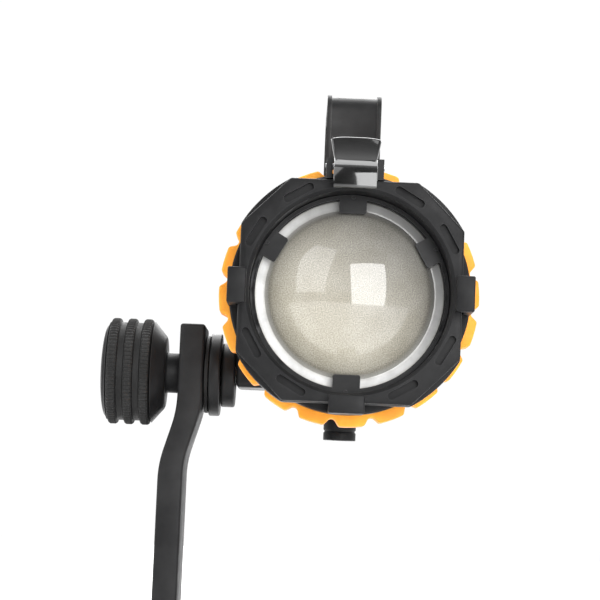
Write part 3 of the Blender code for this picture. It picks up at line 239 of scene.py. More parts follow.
# swings a piece round the lamp's axis
def turnAboutLamp(piece, degrees):
    centre = inHead(0, 0, 0)
    swing = Matrix.Rotation(math.radians(-degrees), 4, "Y")
    piece.data.transform(Matrix.Translation(centre) @ swing @ Matrix.Translation(-centre))
    return piece


# materials
def nodeAt(tree, kind, **values):
    node = tree.nodes.new(kind)
    for key, value in values.items():
        if hasattr(node, key):
            setattr(node, key, value)
        else:
            node.inputs[key].default_value = value
    return node


def grade(tree, source, fromLow, fromHigh, toLow, toHigh):
    remap = tree.nodes.new("ShaderNodeMapRange")
    ends = {"From Min": fromLow, "From Max": fromHigh, "To Min": toLow, "To Max": toHigh}
    for socket, value in ends.items():
        remap.inputs[socket].default_value = value
    tree.links.new(source, remap.inputs["Value"])
    return remap.outputs["Result"]


# what a look has where it says nothing else; widths and depths in mm
plainLook = dict(patch=60, smudge=140, edgeWidth=0.5, wear=0.5, bump=0.3, depth=0.05, brush=None, metal=0.0,
                 coat=0.0, coatRough=0.05, gloss=0.5, sheen=0.0)


# a worn, grained finish: two colours mixed by slow noise, fine grain in the bump, paler edges
def surface(name, look):
    look = {**plainLook, "edge": look["light"], **look}
    made = bpy.data.materials.new(name)
    made.use_nodes = True
    tree = made.node_tree
    shader = tree.nodes["Principled BSDF"]
    link = tree.links.new
    place = tree.nodes.new("ShaderNodeTexCoord").outputs["Object"]

    slow = nodeAt(tree, "ShaderNodeTexNoise", Scale=look["patch"], Detail=4.0, Roughness=0.6)
    link(place, slow.inputs["Vector"])
    fine = nodeAt(tree, "ShaderNodeTexNoise", Scale=look["grain"], Detail=2.0, Roughness=0.55)
    link(place, fine.inputs["Vector"])

    colour = nodeAt(tree, "ShaderNodeMix", data_type="RGBA")
    colour.inputs[6].default_value = (*look["dark"], 1)
    colour.inputs[7].default_value = (*look["light"], 1)
    link(grade(tree, slow.outputs["Fac"], 0.35, 0.65, 0.0, 1.0), colour.inputs[0])
    worn = nodeAt(tree, "ShaderNodeMix", data_type="RGBA")
    worn.inputs[7].default_value = (*look["edge"], 1)
    link(colour.outputs[2], worn.inputs[6])

    # edges: where the softened normal leaves the true one
    soft = nodeAt(tree, "ShaderNodeBevel", samples=4, Radius=look["edgeWidth"] * mm)
    true = tree.nodes.new("ShaderNodeNewGeometry")
    meet = nodeAt(tree, "ShaderNodeVectorMath", operation="DOT_PRODUCT")
    link(soft.outputs["Normal"], meet.inputs[0])
    link(true.outputs["Normal"], meet.inputs[1])
    edge = grade(tree, meet.outputs["Value"], 0.995, 0.90, 0.0, 1.0)
    rub = nodeAt(tree, "ShaderNodeMath", operation="MULTIPLY")
    link(edge, rub.inputs[0])
    link(grade(tree, fine.outputs["Fac"], 0.35, 0.6, 0.25, 1.0), rub.inputs[1])
    wear = nodeAt(tree, "ShaderNodeMath", operation="MULTIPLY")
    wear.inputs[1].default_value = look["wear"]
    link(rub.outputs[0], wear.inputs[0])
    link(wear.outputs[0], worn.inputs[0])
    link(worn.outputs[2], shader.inputs["Base Color"])

    smudge = nodeAt(tree, "ShaderNodeTexNoise", Scale=look["smudge"], Detail=5.0, Roughness=0.65)
    link(place, smudge.inputs["Vector"])
    link(grade(tree, smudge.outputs["Fac"], 0.3, 0.7, *look["rough"]), shader.inputs["Roughness"])

    bump = nodeAt(tree, "ShaderNodeBump", Strength=look["bump"], Distance=look["depth"] * mm)
    link(fine.outputs["Fac"], bump.inputs["Height"])
    if look["brush"]:
        lines = nodeAt(tree, "ShaderNodeMapping")
        lines.inputs["Scale"].default_value = look["brush"]
        link(place, lines.inputs["Vector"])
        streaks = nodeAt(tree, "ShaderNodeTexNoise", Scale=600.0, Detail=2.0)
        link(lines.outputs["Vector"], streaks.inputs["Vector"])
        brushed = nodeAt(tree, "ShaderNodeBump", Strength=0.25, Distance=0.02 * mm)
        link(streaks.outputs["Fac"], brushed.inputs["Height"])
        link(brushed.outputs["Normal"], bump.inputs["Normal"])
    link(bump.outputs["Normal"], shader.inputs["Normal"])

    shader.inputs["Metallic"].default_value = look["metal"]
    shader.inputs["Coat Weight"].default_value = look["coat"]
    shader.inputs["Coat Roughness"].default_value = look["coatRough"]
    shader.inputs["Specular IOR Level"].default_value = look["gloss"]
    shader.inputs["Sheen Weight"].default_value = look["sheen"]
    return made


looks = {
    "black_plastic": dict(dark=(0.006, 0.006, 0.0065), light=(0.013, 0.013, 0.0135), edge=(0.06, 0.06, 0.062),
                          rough=(0.34, 0.52), grain=2600, bump=0.35, depth=0.05, wear=0.4, gloss=0.13),
    "gloss_black": dict(dark=(0.004, 0.004, 0.004), light=(0.009, 0.009, 0.009), edge=(0.03, 0.03, 0.03),
                        rough=(0.06, 0.16), grain=900, bump=0.05, depth=0.02, wear=0.3, coat=0.8,
                        coatRough=0.03),
    "black_metal": dict(dark=(0.005, 0.005, 0.0055), light=(0.012, 0.012, 0.0125), edge=(0.09, 0.09, 0.09),
                        rough=(0.30, 0.46), grain=3200, bump=0.25, depth=0.04, wear=0.3, gloss=0.18),
    "charcoal_metal": dict(dark=(0.008, 0.008, 0.0085), light=(0.016, 0.016, 0.0165), edge=(0.12, 0.12, 0.12),
                           rough=(0.38, 0.55), grain=2200, bump=0.4, depth=0.06, wear=0.4, gloss=0.16),
    "steel": dict(dark=(0.42, 0.42, 0.43), light=(0.62, 0.62, 0.63), edge=(0.8, 0.8, 0.8),
                  rough=(0.20, 0.38), grain=4000, bump=0.15, depth=0.02, wear=0.4, metal=1.0,
                  brush=(1, 1, 6)),
    "aluminium": dict(dark=(0.50, 0.50, 0.52), light=(0.66, 0.66, 0.68), edge=(0.85, 0.85, 0.86),
                      rough=(0.28, 0.45), grain=3000, bump=0.2, depth=0.03, wear=0.4, metal=1.0,
                      brush=(6, 1, 1)),
    "orange_rubber": dict(dark=(0.82, 0.29, 0.012), light=(0.95, 0.39, 0.03), edge=(1.0, 0.55, 0.12),
                          rough=(0.50, 0.72), grain=2400, bump=0.45, depth=0.06, wear=0.35, gloss=0.4,
                          sheen=0.1),
    "black_rubber": dict(dark=(0.004, 0.004, 0.004), light=(0.010, 0.010, 0.010), edge=(0.04, 0.04, 0.04),
                         rough=(0.50, 0.72), grain=1500, bump=0.7, depth=0.12, wear=0.5, gloss=0.25),
    "phosphor": dict(dark=(0.75, 0.58, 0.08), light=(0.90, 0.76, 0.18), rough=(0.5, 0.7), grain=3000,
                     wear=0.1),
    "board": dict(dark=(0.70, 0.70, 0.68), light=(0.84, 0.84, 0.82), rough=(0.35, 0.5), grain=2000, wear=0.2),
    "insulator": dict(dark=(0.55, 0.53, 0.48), light=(0.68, 0.66, 0.60), rough=(0.4, 0.6), grain=2000,
                      wear=0.2),
    "brass": dict(dark=(0.60, 0.42, 0.16), light=(0.75, 0.56, 0.25), rough=(0.2, 0.4), grain=3000, wear=0.3,
                  metal=1.0),
}
finishes = {name: surface(name, look) for name, look in looks.items()}


# painted light and shade on the lens: lighter and darker across it, in bands, and round its edge
lensLook = {
    "litTone": (0.46, 0.437, 0.375), "shadedTone": (0.19, 0.185, 0.172), "speck": 2400.0, "grit": 0.55,
    "stops": ((0.0, 0.86), (15.0, 0.90), (23.0, 1.0), (27.0, 1.0), (28.9, 0.72), (30.2, 0.80)),
    "span": 35.0,  # radius that the stops are shares of
    "ringIn": 28.4, "ringOut": 31.4, "ringEdge": 33.5, "ring": (0.84, 0.84, 0.83),
    "shade": (0.07, 0.07, 0.068), "shadingTurn": (-18.0, 24.0), "litTurn": (-34.0, 24.0),
    "polishEnd": (30.2, 30.9), "ringPolish": 0.15, "polishRough": 0.025, "density": 1.6,
}


# the stippled back through a polished dome, with painted shade in a band at its rim and a painted light edge
def glassSurface():
    look = lensLook
    made = bpy.data.materials.new("stippledGlass")
    made.use_nodes = True
    tree = made.node_tree
    shader = tree.nodes["Principled BSDF"]
    link = tree.links.new
    shift = nodeAt(tree, "ShaderNodeMapping")
    shift.inputs["Location"].default_value = -inHead(0, 0, 0)
    link(tree.nodes.new("ShaderNodeTexCoord").outputs["Object"], shift.inputs["Vector"])
    spot = shift.outputs["Vector"]
    flat = nodeAt(tree, "ShaderNodeVectorMath", operation="MULTIPLY")
    flat.inputs[1].default_value = (1, 0, 1)
    link(spot, flat.inputs[0])
    flatSpot = flat.outputs["Vector"]
    length = nodeAt(tree, "ShaderNodeVectorMath", operation="LENGTH")
    link(flatSpot, length.inputs[0])
    radius = length.outputs["Value"]

    def noise(scale, detail, source=flatSpot):
        node = nodeAt(tree, "ShaderNodeTexNoise", Scale=scale, Detail=detail, Roughness=0.6)
        link(source, node.inputs["Vector"])
        return node.outputs["Fac"]

    # each of first and second is a colour or a socket
    def mixed(share, first, second, kind="MIX"):
        node = nodeAt(tree, "ShaderNodeMix", data_type="RGBA", blend_type=kind)
        for socket, value in ((0, share), (6, first), (7, second)):
            if isinstance(value, bpy.types.NodeSocket):
                link(value, node.inputs[socket])
            else:
                node.inputs[socket].default_value = value if socket == 0 else (*value, 1)
        return node.outputs[2]

    def toward(direction):
        node = nodeAt(tree, "ShaderNodeVectorMath", operation="DOT_PRODUCT")
        node.inputs[1].default_value = direction
        link(spot, node.inputs[0])
        return node.outputs["Value"]

    # painted shade: warmer and lighter low on the left, greyer and darker high on the right
    start, end = look["shadingTurn"]
    shadedShare = grade(tree, toward((0.6, 0, 0.8)), start * mm, end * mm, 0.0, 1.0)
    paintedShading = mixed(shadedShare, look["litTone"], look["shadedTone"])
    speck = noise(look["speck"], 1.5)
    gritColour = mixed(grade(tree, speck, 0.32, 0.68, 0.0, 1.0), (0.20, 0.20, 0.19), (0.80, 0.79, 0.76))
    gritty = mixed(look["grit"], paintedShading, gritColour, "OVERLAY")
    cloud = grade(tree, noise(45.0, 3.0), 0.40, 0.62, 0.0, 1.0)
    cloudy = mixed(cloud, gritty, (0.86, 0.85, 0.82), "MULTIPLY")
    # painted light and shade in rings: the dome's middle lighter, a darker band near its rim
    paintedBands = nodeAt(tree, "ShaderNodeValToRGB")
    ramp = paintedBands.color_ramp
    ramp.interpolation = "EASE"
    for number, (place, level) in enumerate(look["stops"]):
        stop = ramp.elements[number] if number < 2 else ramp.elements.new(0.99)
        stop.position = place / look["span"]
        stop.color = (level, level, level, 1)
    link(grade(tree, radius, 0.0, look["span"] * mm, 0.0, 1.0), paintedBands.inputs["Fac"])
    dome = mixed(1.0, cloudy, paintedBands.outputs["Color"], "MULTIPLY")

    # painted light on the flat edge outside the dome, brightest on the lower left, painted shade elsewhere
    start, end = look["litTurn"]
    litShare = grade(tree, toward((-0.72, 0, -0.69)), start * mm, end * mm, 0.0, 1.0)
    mottled = nodeAt(tree, "ShaderNodeMath", operation="MULTIPLY")
    link(litShare, mottled.inputs[0])
    link(grade(tree, noise(150.0, 3.0), 0.3, 0.6, 0.72, 1.0), mottled.inputs[1])
    paintedRing = mixed(mottled.outputs[0], look["shade"], look["ring"])
    inRing = nodeAt(tree, "ShaderNodeMath", operation="MULTIPLY")
    link(grade(tree, radius, look["ringIn"] * mm, look["ringOut"] * mm, 0.0, 1.0), inRing.inputs[0])
    outside, inside = (look["ringEdge"] + 0.4) * mm, (look["ringEdge"] - 0.8) * mm
    link(grade(tree, radius, outside, inside, 0.3, 1.0), inRing.inputs[1])
    link(mixed(inRing.outputs[0], dome, paintedRing), shader.inputs["Base Color"])

    link(grade(tree, speck, 0.3, 0.7, 0.45, 0.75), shader.inputs["Roughness"])
    bump = nodeAt(tree, "ShaderNodeBump", Strength=0.25, Distance=0.04 * mm)
    link(speck, bump.inputs["Height"])
    link(bump.outputs["Normal"], shader.inputs["Normal"])
    shader.inputs["Specular IOR Level"].default_value = 0.2
    start, end = look["polishEnd"]
    link(grade(tree, radius, start * mm, end * mm, 1.0, look["ringPolish"]), shader.inputs["Coat Weight"])
    shader.inputs["Coat Roughness"].default_value = look["polishRough"]
    shader.inputs["Coat IOR"].default_value = look["density"]
    return made


finishes["stippled_glass"] = glassSurface()


def clearGlass():
    made = surface("clearGlass", dict(dark=(0.80, 0.82, 0.82), light=(0.90, 0.91, 0.91), rough=(0.02, 0.06),
                                      grain=500, bump=0.02, depth=0.01, wear=0.0))
    shader = made.node_tree.nodes["Principled BSDF"]
    shader.inputs["Transmission Weight"].default_value = 0.9
    shader.inputs["IOR"].default_value = 1.5
    return made


finishes["clear_glass"] = clearGlass()

slotOf = {entry["node"]: entry["material_slot"] for entry in frame["record"]["subparts"]}
for nodeName, nodeObject in frame["nodes"].items():
    wanted = finishes[slotOf[nodeName]]
    if not nodeObject.material_slots:
        nodeObject.data.materials.append(wanted)
    for holder in nodeObject.material_slots:
        holder.material = wanted
print("finishes are on the frame's nodes")


# finish, body and the nodes that a piece stands for
def settle(piece, body, slotName, *nodes, angle=32):
    piece.data.materials.clear()
    piece.data.materials.append(finishes[slotName])
    smoothOver(piece, angle)
    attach(piece, body)
    if nodes:
        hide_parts(*nodes)
    return piece


# front ring: four flats with slots over the diagonals, a collar behind and a stepped bore; all sizes in mm
ringShape = {
    "flat": 39.1, "vertex": 45.15, "recess": 35.4, "bevel": 1.3, "view": 33.5, "lipDepth": 12.6,
    "lipThick": 2.0, "depth": 13.0, "length": 18.7, "bore": 35.1, "step": 3.5, "noseInset": 0.3, "edge": 0.6,
    "noseEdge": 0.7, "collar": 42.7, "collarFront": 10.3, "slotLength": 11.6, "slotWidth": 2.8,
    "slotDepth": 1.9,
}


# four flats, with arcs or chords over the diagonals
def octagon(radius, steps):
    points = []
    for quarter in range(4):
        points += arc((0, 0), radius * mm, 90 * quarter + 30, 90 * quarter + 60, steps)
    return [(x, z + lampHeight) for x, z in points]


def makeFrontRing():
    shape = ringShape
    flat, recess, bevel, length = shape["flat"], shape["recess"], shape["bevel"], shape["length"]
    view, bore, collar, collarFront = shape["view"], shape["bore"], shape["collar"], shape["collarFront"]
    lipFront, lipBack = shape["lipDepth"], shape["lipDepth"] + shape["lipThick"]
    outside = slab("ringOutside", "Y", octagon(shape["vertex"], 12), rim + shape["step"] * mm,
                   rim + shape["depth"] * mm)
    roundEdges(outside, shape["edge"] * mm, 3, 20)
    nose = slab("ringNose", "Y", octagon(shape["vertex"] - shape["noseInset"], 1), rim,
                rim + (shape["step"] + 1) * mm)
    roundEdges(nose, shape["noseEdge"] * mm, 3, 12)
    combine(outside, nose, "UNION")
    behind = [(collarFront, 0), (collarFront, collar - 0.5), (collarFront + 0.5, collar),
              (length - 0.6, collar), (length, collar - 0.6), (length, 0)]
    combine(outside, lathe("ringCollar", "Y", inHead(0, 0, 0), inMm(behind), 150, False), "UNION")
    hollow = [
        (-2.0, 0), (-2.0, recess + bevel + 2.0), (0.0, recess + bevel), (0.35, recess + bevel * 0.55),
        (bevel, recess), (lipFront, recess), (lipFront, view), (lipBack, view), (lipBack, bore),
        (length + 1, bore), (length + 1, 0),
    ]
    combine(outside, lathe("ringHollow", "Y", inHead(0, 0, 0), inMm(hollow), 160, False), "DIFFERENCE")
    slotShape = roundedOutline(shape["slotWidth"] * mm, shape["slotLength"] * mm,
                               shape["slotWidth"] * 0.46 * mm, 4, ((flat - 0.3) * mm, 0))
    cutters = []
    for quarter in range(4):
        for vertexAngle in (30, 60):
            outline = spunOutline(slotShape, 90 * quarter + vertexAngle, (0, lampHeight))
            cutters.append(slab("ringSlot", "Y", outline, rim - mm, rim + shape["slotDepth"] * mm))
    combine(outside, joined("ringSlots", cutters), "DIFFERENCE")
    outside.name = "frontRing"
    return settle(outside, "head", "black_plastic", "front_ring", angle=28)


makeFrontRing()
print("front ring made")


# claws that hold the accessory plate
clawShape = {"width": 12.4, "wrap": 3.3, "hook": 2.9, "reach": 6.5, "back": 10.0, "plate": 3.0, "edge": 0.9}


def makeClaw(name, node, degrees):
    shape = clawShape
    reach, back, mouth = -shape["reach"], shape["back"], -gap - shape["plate"]
    inner = ringShape["flat"] + gap
    outer = inner + shape["wrap"]
    hook = ringShape["flat"] - shape["hook"]
    slotFloor = ringShape["flat"] - shape["hook"] * 0.3
    side = [(inner, back), (outer, back), (outer, reach), (hook, reach), (hook, mouth), (slotFloor, mouth),
            (slotFloor, -gap), (inner, -gap)]
    outline = [(radius * mm, rim + depth * mm) for radius, depth in side]
    half = shape["width"] / 2 * mm
    piece = slab(name, "Z", outline, lampHeight - half, lampHeight + half)
    roundEdges(piece, shape["edge"] * mm, 3)
    turnAboutLamp(piece, degrees)
    return settle(piece, "head", "black_plastic", node)


makeClaw("clawRight", "claw_right", 0)
makeClaw("clawLeft", "claw_left", 180)
makeClaw("clawBottom", "claw_bottom", 270)
print("claws made")


# lens and its retainer
lensShape = {"radius": 34.8, "dome": 30.2, "rise": 13.0, "front": 14.9, "back": 17.4, "cut": 0.3, "rings": 26}
retainerShape = {"thick": 1.2, "width": 6.0, "length": 9.7, "reach": 1.9, "corner": 0.7, "edge": 0.2,
                 "angles": (30, 90, 150, 270)}


def makeLens():
    shape = lensShape
    radius, front, back, cut = shape["radius"], shape["front"], shape["back"], shape["cut"]
    ball = (shape["dome"] ** 2 + shape["rise"] ** 2) / (2 * shape["rise"])
    spread = math.asin(shape["dome"] / ball)
    top = front - shape["rise"]
    profile = [(back, 0), (back, radius - cut), (back - cut, radius), (front + cut, radius),
               (front, radius - cut)]
    for step in range(shape["rings"], -1, -1):
        angle = spread * step / shape["rings"]
        profile.append((top + ball * (1 - math.cos(angle)), ball * math.sin(angle)))
    piece = lathe("lensGlass", "Y", inHead(0, 0, 0), inMm(profile), 144, False)
    return settle(piece, "head", "stippled_glass", "lens", angle=30)


def makeRetainer():
    shape = retainerShape
    back = ringShape["lipDepth"] - gap
    front = back - shape["thick"]
    inner, outer = ringShape["view"] + gap, ringShape["recess"] - gap
    profile = [(front, inner), (front, outer), (back, outer), (back, inner)]
    ring = lathe("lensRetainer", "Y", inHead(0, 0, 0), inMm(profile), 144)
    tabShape = roundedOutline(shape["width"] * mm, shape["length"] * mm, shape["corner"] * mm, 4,
                              ((ringShape["view"] - shape["reach"]) * mm, 0))
    tabs = []
    for degrees in shape["angles"]:
        outline = spunOutline(tabShape, degrees, (0, lampHeight))
        tabs.append(slab("retainerTab", "Y", outline, rim + front * mm, rim + back * mm))
    combine(ring, joined("retainerTabs", tabs), "UNION")
    roundEdges(ring, shape["edge"] * mm)
    return settle(ring, "head", "black_metal", "lens_retainer")


makeLens()
makeRetainer()
print("lens made")


# orange focus grip with lugs round it
gripShape = {
    "bore": 41.3, "root": 44.0, "lug": 46.6, "lugs": 20, "phase": 3.4, "edge": 0.7,
    "steps": ((-0.44, "root"), (-0.31, "lug"), (-0.1, "lug"), (0.1, "lug"), (0.31, "lug"), (0.44, "root")),
}


def makeGrip():
    shape = gripShape
    front, back = low("focus_grip").y, high("focus_grip").y
    pitch = 360 / shape["lugs"]
    outline = []
    for number in range(shape["lugs"]):
        start = number * pitch + shape["phase"]
        for offset, radius in shape["steps"]:
            x, z = polar(shape[radius] * mm, start + offset * pitch)
            outline.append((x, z + lampHeight))
    piece = slab("focusGrip", "Y", outline, front, back)
    cutHole(piece, "Y", (0, 0, lampHeight), front - mm, back + mm, shape["bore"] * mm, 120)
    roundEdges(piece, shape["edge"] * mm, 3, 25)
    return settle(piece, "focus_ring", "orange_rubber", "focus_grip")


makeGrip()
print("focus grip made")


# latch
latchShape = {
    "width": 15.2, "lip": 3.3, "hub": 2.35, "bore": 1.1, "notch": 3.2, "edge": 0.45,
    "tabTop": 54.1, "tabWide": 17.6, "tabNarrow": 14.1, "curl": 1.5, "thick": 1.7, "lean": 3.4,
    "tabEdge": 0.5,
}


def makeLatch():
    shape = latchShape
    pin = middle("latch_pin")
    front, foot = low("latch_lever").y, low("latch_lever").z
    webLow = high("latch_bracket").z - 5.4 * mm
    half, notch = shape["width"] / 2 * mm, shape["notch"] * mm
    lipBack = front + shape["lip"] * mm
    profile = [(front, foot), (lipBack, foot), (lipBack, webLow + 0.5 * mm)]
    profile += [(pin.y + y, pin.z + z) for y, z in arc((0, 0), shape["hub"] * mm, -95, 100, 14)]
    profile += [(lipBack + 5.6 * mm, pin.z + 2.2 * mm), (lipBack + 3.4 * mm, pin.z + 2.6 * mm),
                (lipBack + 0.4 * mm, pin.z + 1.4 * mm), (front + 0.9 * mm, pin.z - 1.1 * mm),
                (front, pin.z - 2.2 * mm)]
    lever = slab("latchLever", "X", profile, -half, half)
    space = block("latchNotch", (-notch, pin.y - 2.8 * mm, pin.z - 6 * mm),
                  (notch, pin.y + 6 * mm, pin.z + 6 * mm))
    combine(lever, space, "DIFFERENCE")
    cutHole(lever, "X", (0, pin.y, pin.z), -12 * mm, 12 * mm, shape["bore"] * mm)
    roundEdges(lever, shape["edge"] * mm, 2, 40)

    # thumb tab: a sheet that flares upwards and leans back, with its edges curled forwards
    startFresh()
    bpy.ops.mesh.primitive_grid_add(x_subdivisions=20, y_subdivisions=14, size=1)
    tab = bpy.context.object
    tabLow, tabHigh = pin.z + 0.2 * mm, lampHeight + shape["tabTop"] * mm
    base = lipBack + 2.2 * mm
    for vertex in tab.data.vertices:
        across, up = vertex.co.x * 2, vertex.co.y + 0.5
        wide = (shape["tabNarrow"] + (shape["tabWide"] - shape["tabNarrow"]) * up ** 0.8) / 2 * mm
        lift = tabHigh - 0.9 * mm * abs(across) ** 3 - tabLow
        curl = shape["curl"] * mm * (across ** 2) * (0.35 + 0.65 * up)
        toe = 1.8 * mm * (1 - up) ** 3
        vertex.co = (across * wide, base - curl - toe + shape["lean"] * mm * up, tabLow + lift * up)
    wall = tab.modifiers.new("wall", "SOLIDIFY")
    wall.thickness = shape["thick"] * mm
    wall.offset = 0
    useModifiers(tab)
    roundEdges(tab, shape["tabEdge"] * mm, 3, 50)
    bpy.ops.object.mode_set(mode="EDIT")
    bpy.ops.mesh.select_all(action="SELECT")
    bpy.ops.mesh.normals_make_consistent(inside=False)
    bpy.ops.object.mode_set(mode="OBJECT")
    combine(lever, tab, "UNION")
    return settle(lever, "latch", "gloss_black", "latch_lever", angle=40)


makeLatch()
print("latch made")


# carrying handle: a channel strap
handleShape = {"strap": 2.2, "lip": 0.9, "lipWide": 1.6, "bend": 7.0, "foot": 12.0, "edge": 0.35}


def strapOutline(inset, thickness):
    shape = handleShape
    lowest, highest = low("handle"), high("handle")
    front, back, base, top = lowest.y, highest.y, lowest.z, highest.z
    bend = shape["bend"] * mm
    outerBend, innerBend = bend - inset, bend - thickness
    footTop = base + shape["strap"] * mm
    foot = shape["foot"] * mm
    outer = [(front + inset, base)]
    outer += arc((front + bend, top - bend), outerBend, 180, 90, 10)
    outer += arc((back - bend, top - bend), outerBend, 90, 0, 10)
    outer += [(back - inset, base)]
    inner = [(back - foot, base), (back - foot, footTop), (back - thickness, footTop)]
    inner += arc((back - bend, top - bend), innerBend, 0, 90, 10)
    inner += arc((front + bend, top - bend), innerBend, 90, 180, 10)
    inner += [(front + thickness, footTop), (front + foot, footTop), (front + foot, base)]
    return outer + inner


def makeHandle():
    shape = handleShape
    half, base = high("handle").x, low("handle").z
    lip, wide = shape["lip"] * mm, shape["lipWide"] * mm
    depth = shape["strap"] * mm + lip
    piece = slab("carryHandle", "X", strapOutline(lip, depth), -half + 0.2 * mm, half - 0.2 * mm)
    for start in (-half, half - wide):
        edge = slab("handleEdge", "X", strapOutline(0, depth - 0.15 * mm), start, start + wide)
        combine(piece, edge, "UNION")
    for node in ("handle_screw_front", "handle_screw_rear"):
        spot = middle(node)
        cutHole(piece, "Z", (spot.x, spot.y, 0), base - mm, base + 4 * mm, screwHole * mm)
    roundEdges(piece, shape["edge"] * mm, 2, 40)
    return settle(piece, "head", "charcoal_metal", "handle")


makeHandle()
print("handle made")


# yoke arm
armShape = {
    "thick": 9.3, "leanStart": 13.0, "leanEnd": 33.0, "bend": 10.0, "easeInside": 5.0, "easeOutside": 6.0,
    "edge": 1.1,
}


def makeArm():
    shape = armShape
    lowest, highest = low("yoke_arm"), high("yoke_arm")
    thick, bend = shape["thick"] * mm, shape["bend"] * mm
    easeInside, easeOutside = shape["easeInside"] * mm, shape["easeOutside"] * mm
    inner = low("arm_washer").x - gap * mm
    lowInner = lowest.x + thick
    leanStart, leanEnd = tiltHeight - shape["leanStart"] * mm, tiltHeight - shape["leanEnd"] * mm
    footTop = lowest.z + thick
    centre = (lowInner + bend, footTop + bend)
    slip = thick * math.tan(math.atan2(inner - lowInner, leanStart - leanEnd) / 2)

    # a round corner as a curve between two straight runs
    def eased(corner, fromPoint, toPoint, size, steps=6):
        corner, fromPoint, toPoint = Vector(corner), Vector(fromPoint), Vector(toPoint)
        start = corner + (fromPoint - corner).normalized() * size
        end = corner + (toPoint - corner).normalized() * size
        return [tuple(start * (1 - t) ** 2 + corner * 2 * t * (1 - t) + end * t * t)
                for t in (step / steps for step in range(steps + 1))]

    innerTop, innerStart, innerEnd = (inner, highest.z), (inner, leanStart), (lowInner, leanEnd)
    outerTop = (inner - thick, highest.z)
    outerStart, outerEnd = (inner - thick, leanStart - slip), (lowInner - thick, leanEnd - slip)
    points = [innerTop]
    points += eased(innerStart, innerTop, innerEnd, easeInside)
    points += eased(innerEnd, innerStart, (lowInner, footTop + bend), easeInside)
    points += arc(centre, bend, 180, 270, 10)
    points += [(highest.x, footTop), (highest.x, footTop - thick)]
    points += arc(centre, bend + thick, 270, 180, 14)
    points += eased(outerEnd, (lowInner - thick, footTop + bend), outerStart, easeOutside)
    points += eased(outerStart, outerEnd, outerTop, easeOutside)
    points += [outerTop]
    piece = slab("yokeArm", "Y", points, lowest.y, highest.y)
    roundEdges(piece, shape["edge"] * mm, 3, 40)
    tilt, foot = middle("tilt_bolt"), middle("socket_bolt")
    cutHole(piece, "X", (0, tilt.y, tilt.z), inner - thick - mm, inner + mm, boltHole * mm, 32)
    cutHole(piece, "Z", (foot.x, foot.y, 0), lowest.z - mm, footTop + mm, boltHole * mm, 32)
    return settle(piece, "yoke", "charcoal_metal", "yoke_arm")


makeArm()
print("arm made")


# friction discs, washer and tilt bracket
def makeDisc(name, node, body, slotName, edge):
    lowest, highest = low(node), high(node)
    radius, hole = (highest.z - lowest.z) / 2, boltHole * mm
    profile = [(lowest.x, hole), (lowest.x, radius), (highest.x, radius), (highest.x, hole)]
    piece = lathe(name, "X", (0, 0, tiltHeight), profile, 96)
    roundEdges(piece, edge * mm, 3, 40)
    return settle(piece, body, slotName, node)


makeDisc("headDisc", "head_disc", "head", "black_metal", 0.8)
makeDisc("armDisc", "arm_disc", "yoke", "black_metal", 0.6)
makeDisc("armWasher", "arm_washer", "yoke", "black_rubber", 0.3)


bracketShape = {"rise": 12.0, "ramp": 20.0, "corner": 4.0, "edge": 2.0, "boreDepth": 6.4, "headDepth": 3.7}


def makeBracket():
    shape = bracketShape
    lowest, highest = low("tilt_bracket"), high("tilt_bracket")
    left, foot, corner = lowest.x, lowest.z, shape["corner"] * mm
    barrel = high("barrel_housing").x
    rise = tiltHeight + shape["rise"] * mm
    right = -math.sqrt(barrel ** 2 - (lampHeight - foot) ** 2) * 0.92
    outline = [(left, foot), (right, foot), (right, foot + shape["ramp"] * mm),
               (left + corner, rise + corner), (left, rise)]
    piece = slab("tiltBracket", "Y", outline, lowest.y, highest.y)
    roundEdges(piece, shape["edge"] * mm, 4, 25)
    cutHole(piece, "Y", (0, 0, lampHeight), lowest.y - 9 * mm, highest.y + 9 * mm, barrel + gap * mm, 144)
    cutHole(piece, "X", (0, 0, tiltHeight), left - mm, left + shape["boreDepth"] * mm, boltHole * mm, 32)
    for node in ("bracket_screw_front", "bracket_screw_rear"):
        spot, radius = middle(node), (high(node).x - low(node).x) / 2 + gap * mm
        start, end = low(node).z - 2 * mm, high(node).z
        step = start + shape["headDepth"] * mm
        pilot = pilotHole * mm
        profile = [(start, 0), (start, radius), (step, radius), (step, pilot), (end, pilot), (end, 0)]
        combine(piece, lathe("bracketHole", "Z", (spot.x, spot.y, 0), profile, 24, False), "DIFFERENCE")
    return settle(piece, "head", "black_metal", "tilt_bracket")


makeBracket()
print("tilt joint made")


# tilt knob
knobShape = {
    "ribs": 3, "teeth": 84, "tooth": 0.32, "groove": 1.5, "chamfer": 0.35, "wall": 3.2, "neck": 5.0,
    "cavity": 12.0, "dome": 2.1, "noseRadius": 13.0, "neckRadius": 7.5, "edge": 0.3,
}


def makeKnobCore():
    shape = knobShape
    end, neckEnd = low("tilt_knob_core").x, high("tilt_knob_core").x
    seatStart, seatEnd = low("tilt_knob_grip").x - gap * mm, high("tilt_knob_grip").x + gap * mm
    radius = high("tilt_knob_grip").z - tiltHeight
    inside = radius - (shape["wall"] + gap) * mm
    nose, neck, noseEnd = shape["noseRadius"] * mm, shape["neckRadius"] * mm, neckEnd - shape["neck"] * mm
    cavity, hole = noseEnd - shape["cavity"] * mm, boltHole * mm
    profile = [(neckEnd, hole), (cavity, hole), (cavity, 0), (end, 0)]
    for step in range(1, 9):  # the shallow dome of the outer end
        angle = math.radians(90 * step / 8)
        profile.append((end + shape["dome"] * mm * (1 - math.cos(angle)), radius * 0.86 * math.sin(angle)))
    profile += [(seatStart, radius * 0.93), (seatStart, inside), (seatEnd, inside), (seatEnd, radius * 0.96),
                (noseEnd - 0.4 * mm, nose + 0.8 * mm), (noseEnd, nose), (noseEnd, neck + 0.7 * mm),
                (noseEnd + 0.6 * mm, neck), (neckEnd, neck)]
    piece = lathe("knobCore", "X", (0, 0, tiltHeight), profile, 96)
    roundEdges(piece, shape["edge"] * mm, 2, 30)
    return settle(piece, "tilt_knob", "black_plastic", "tilt_knob_core")


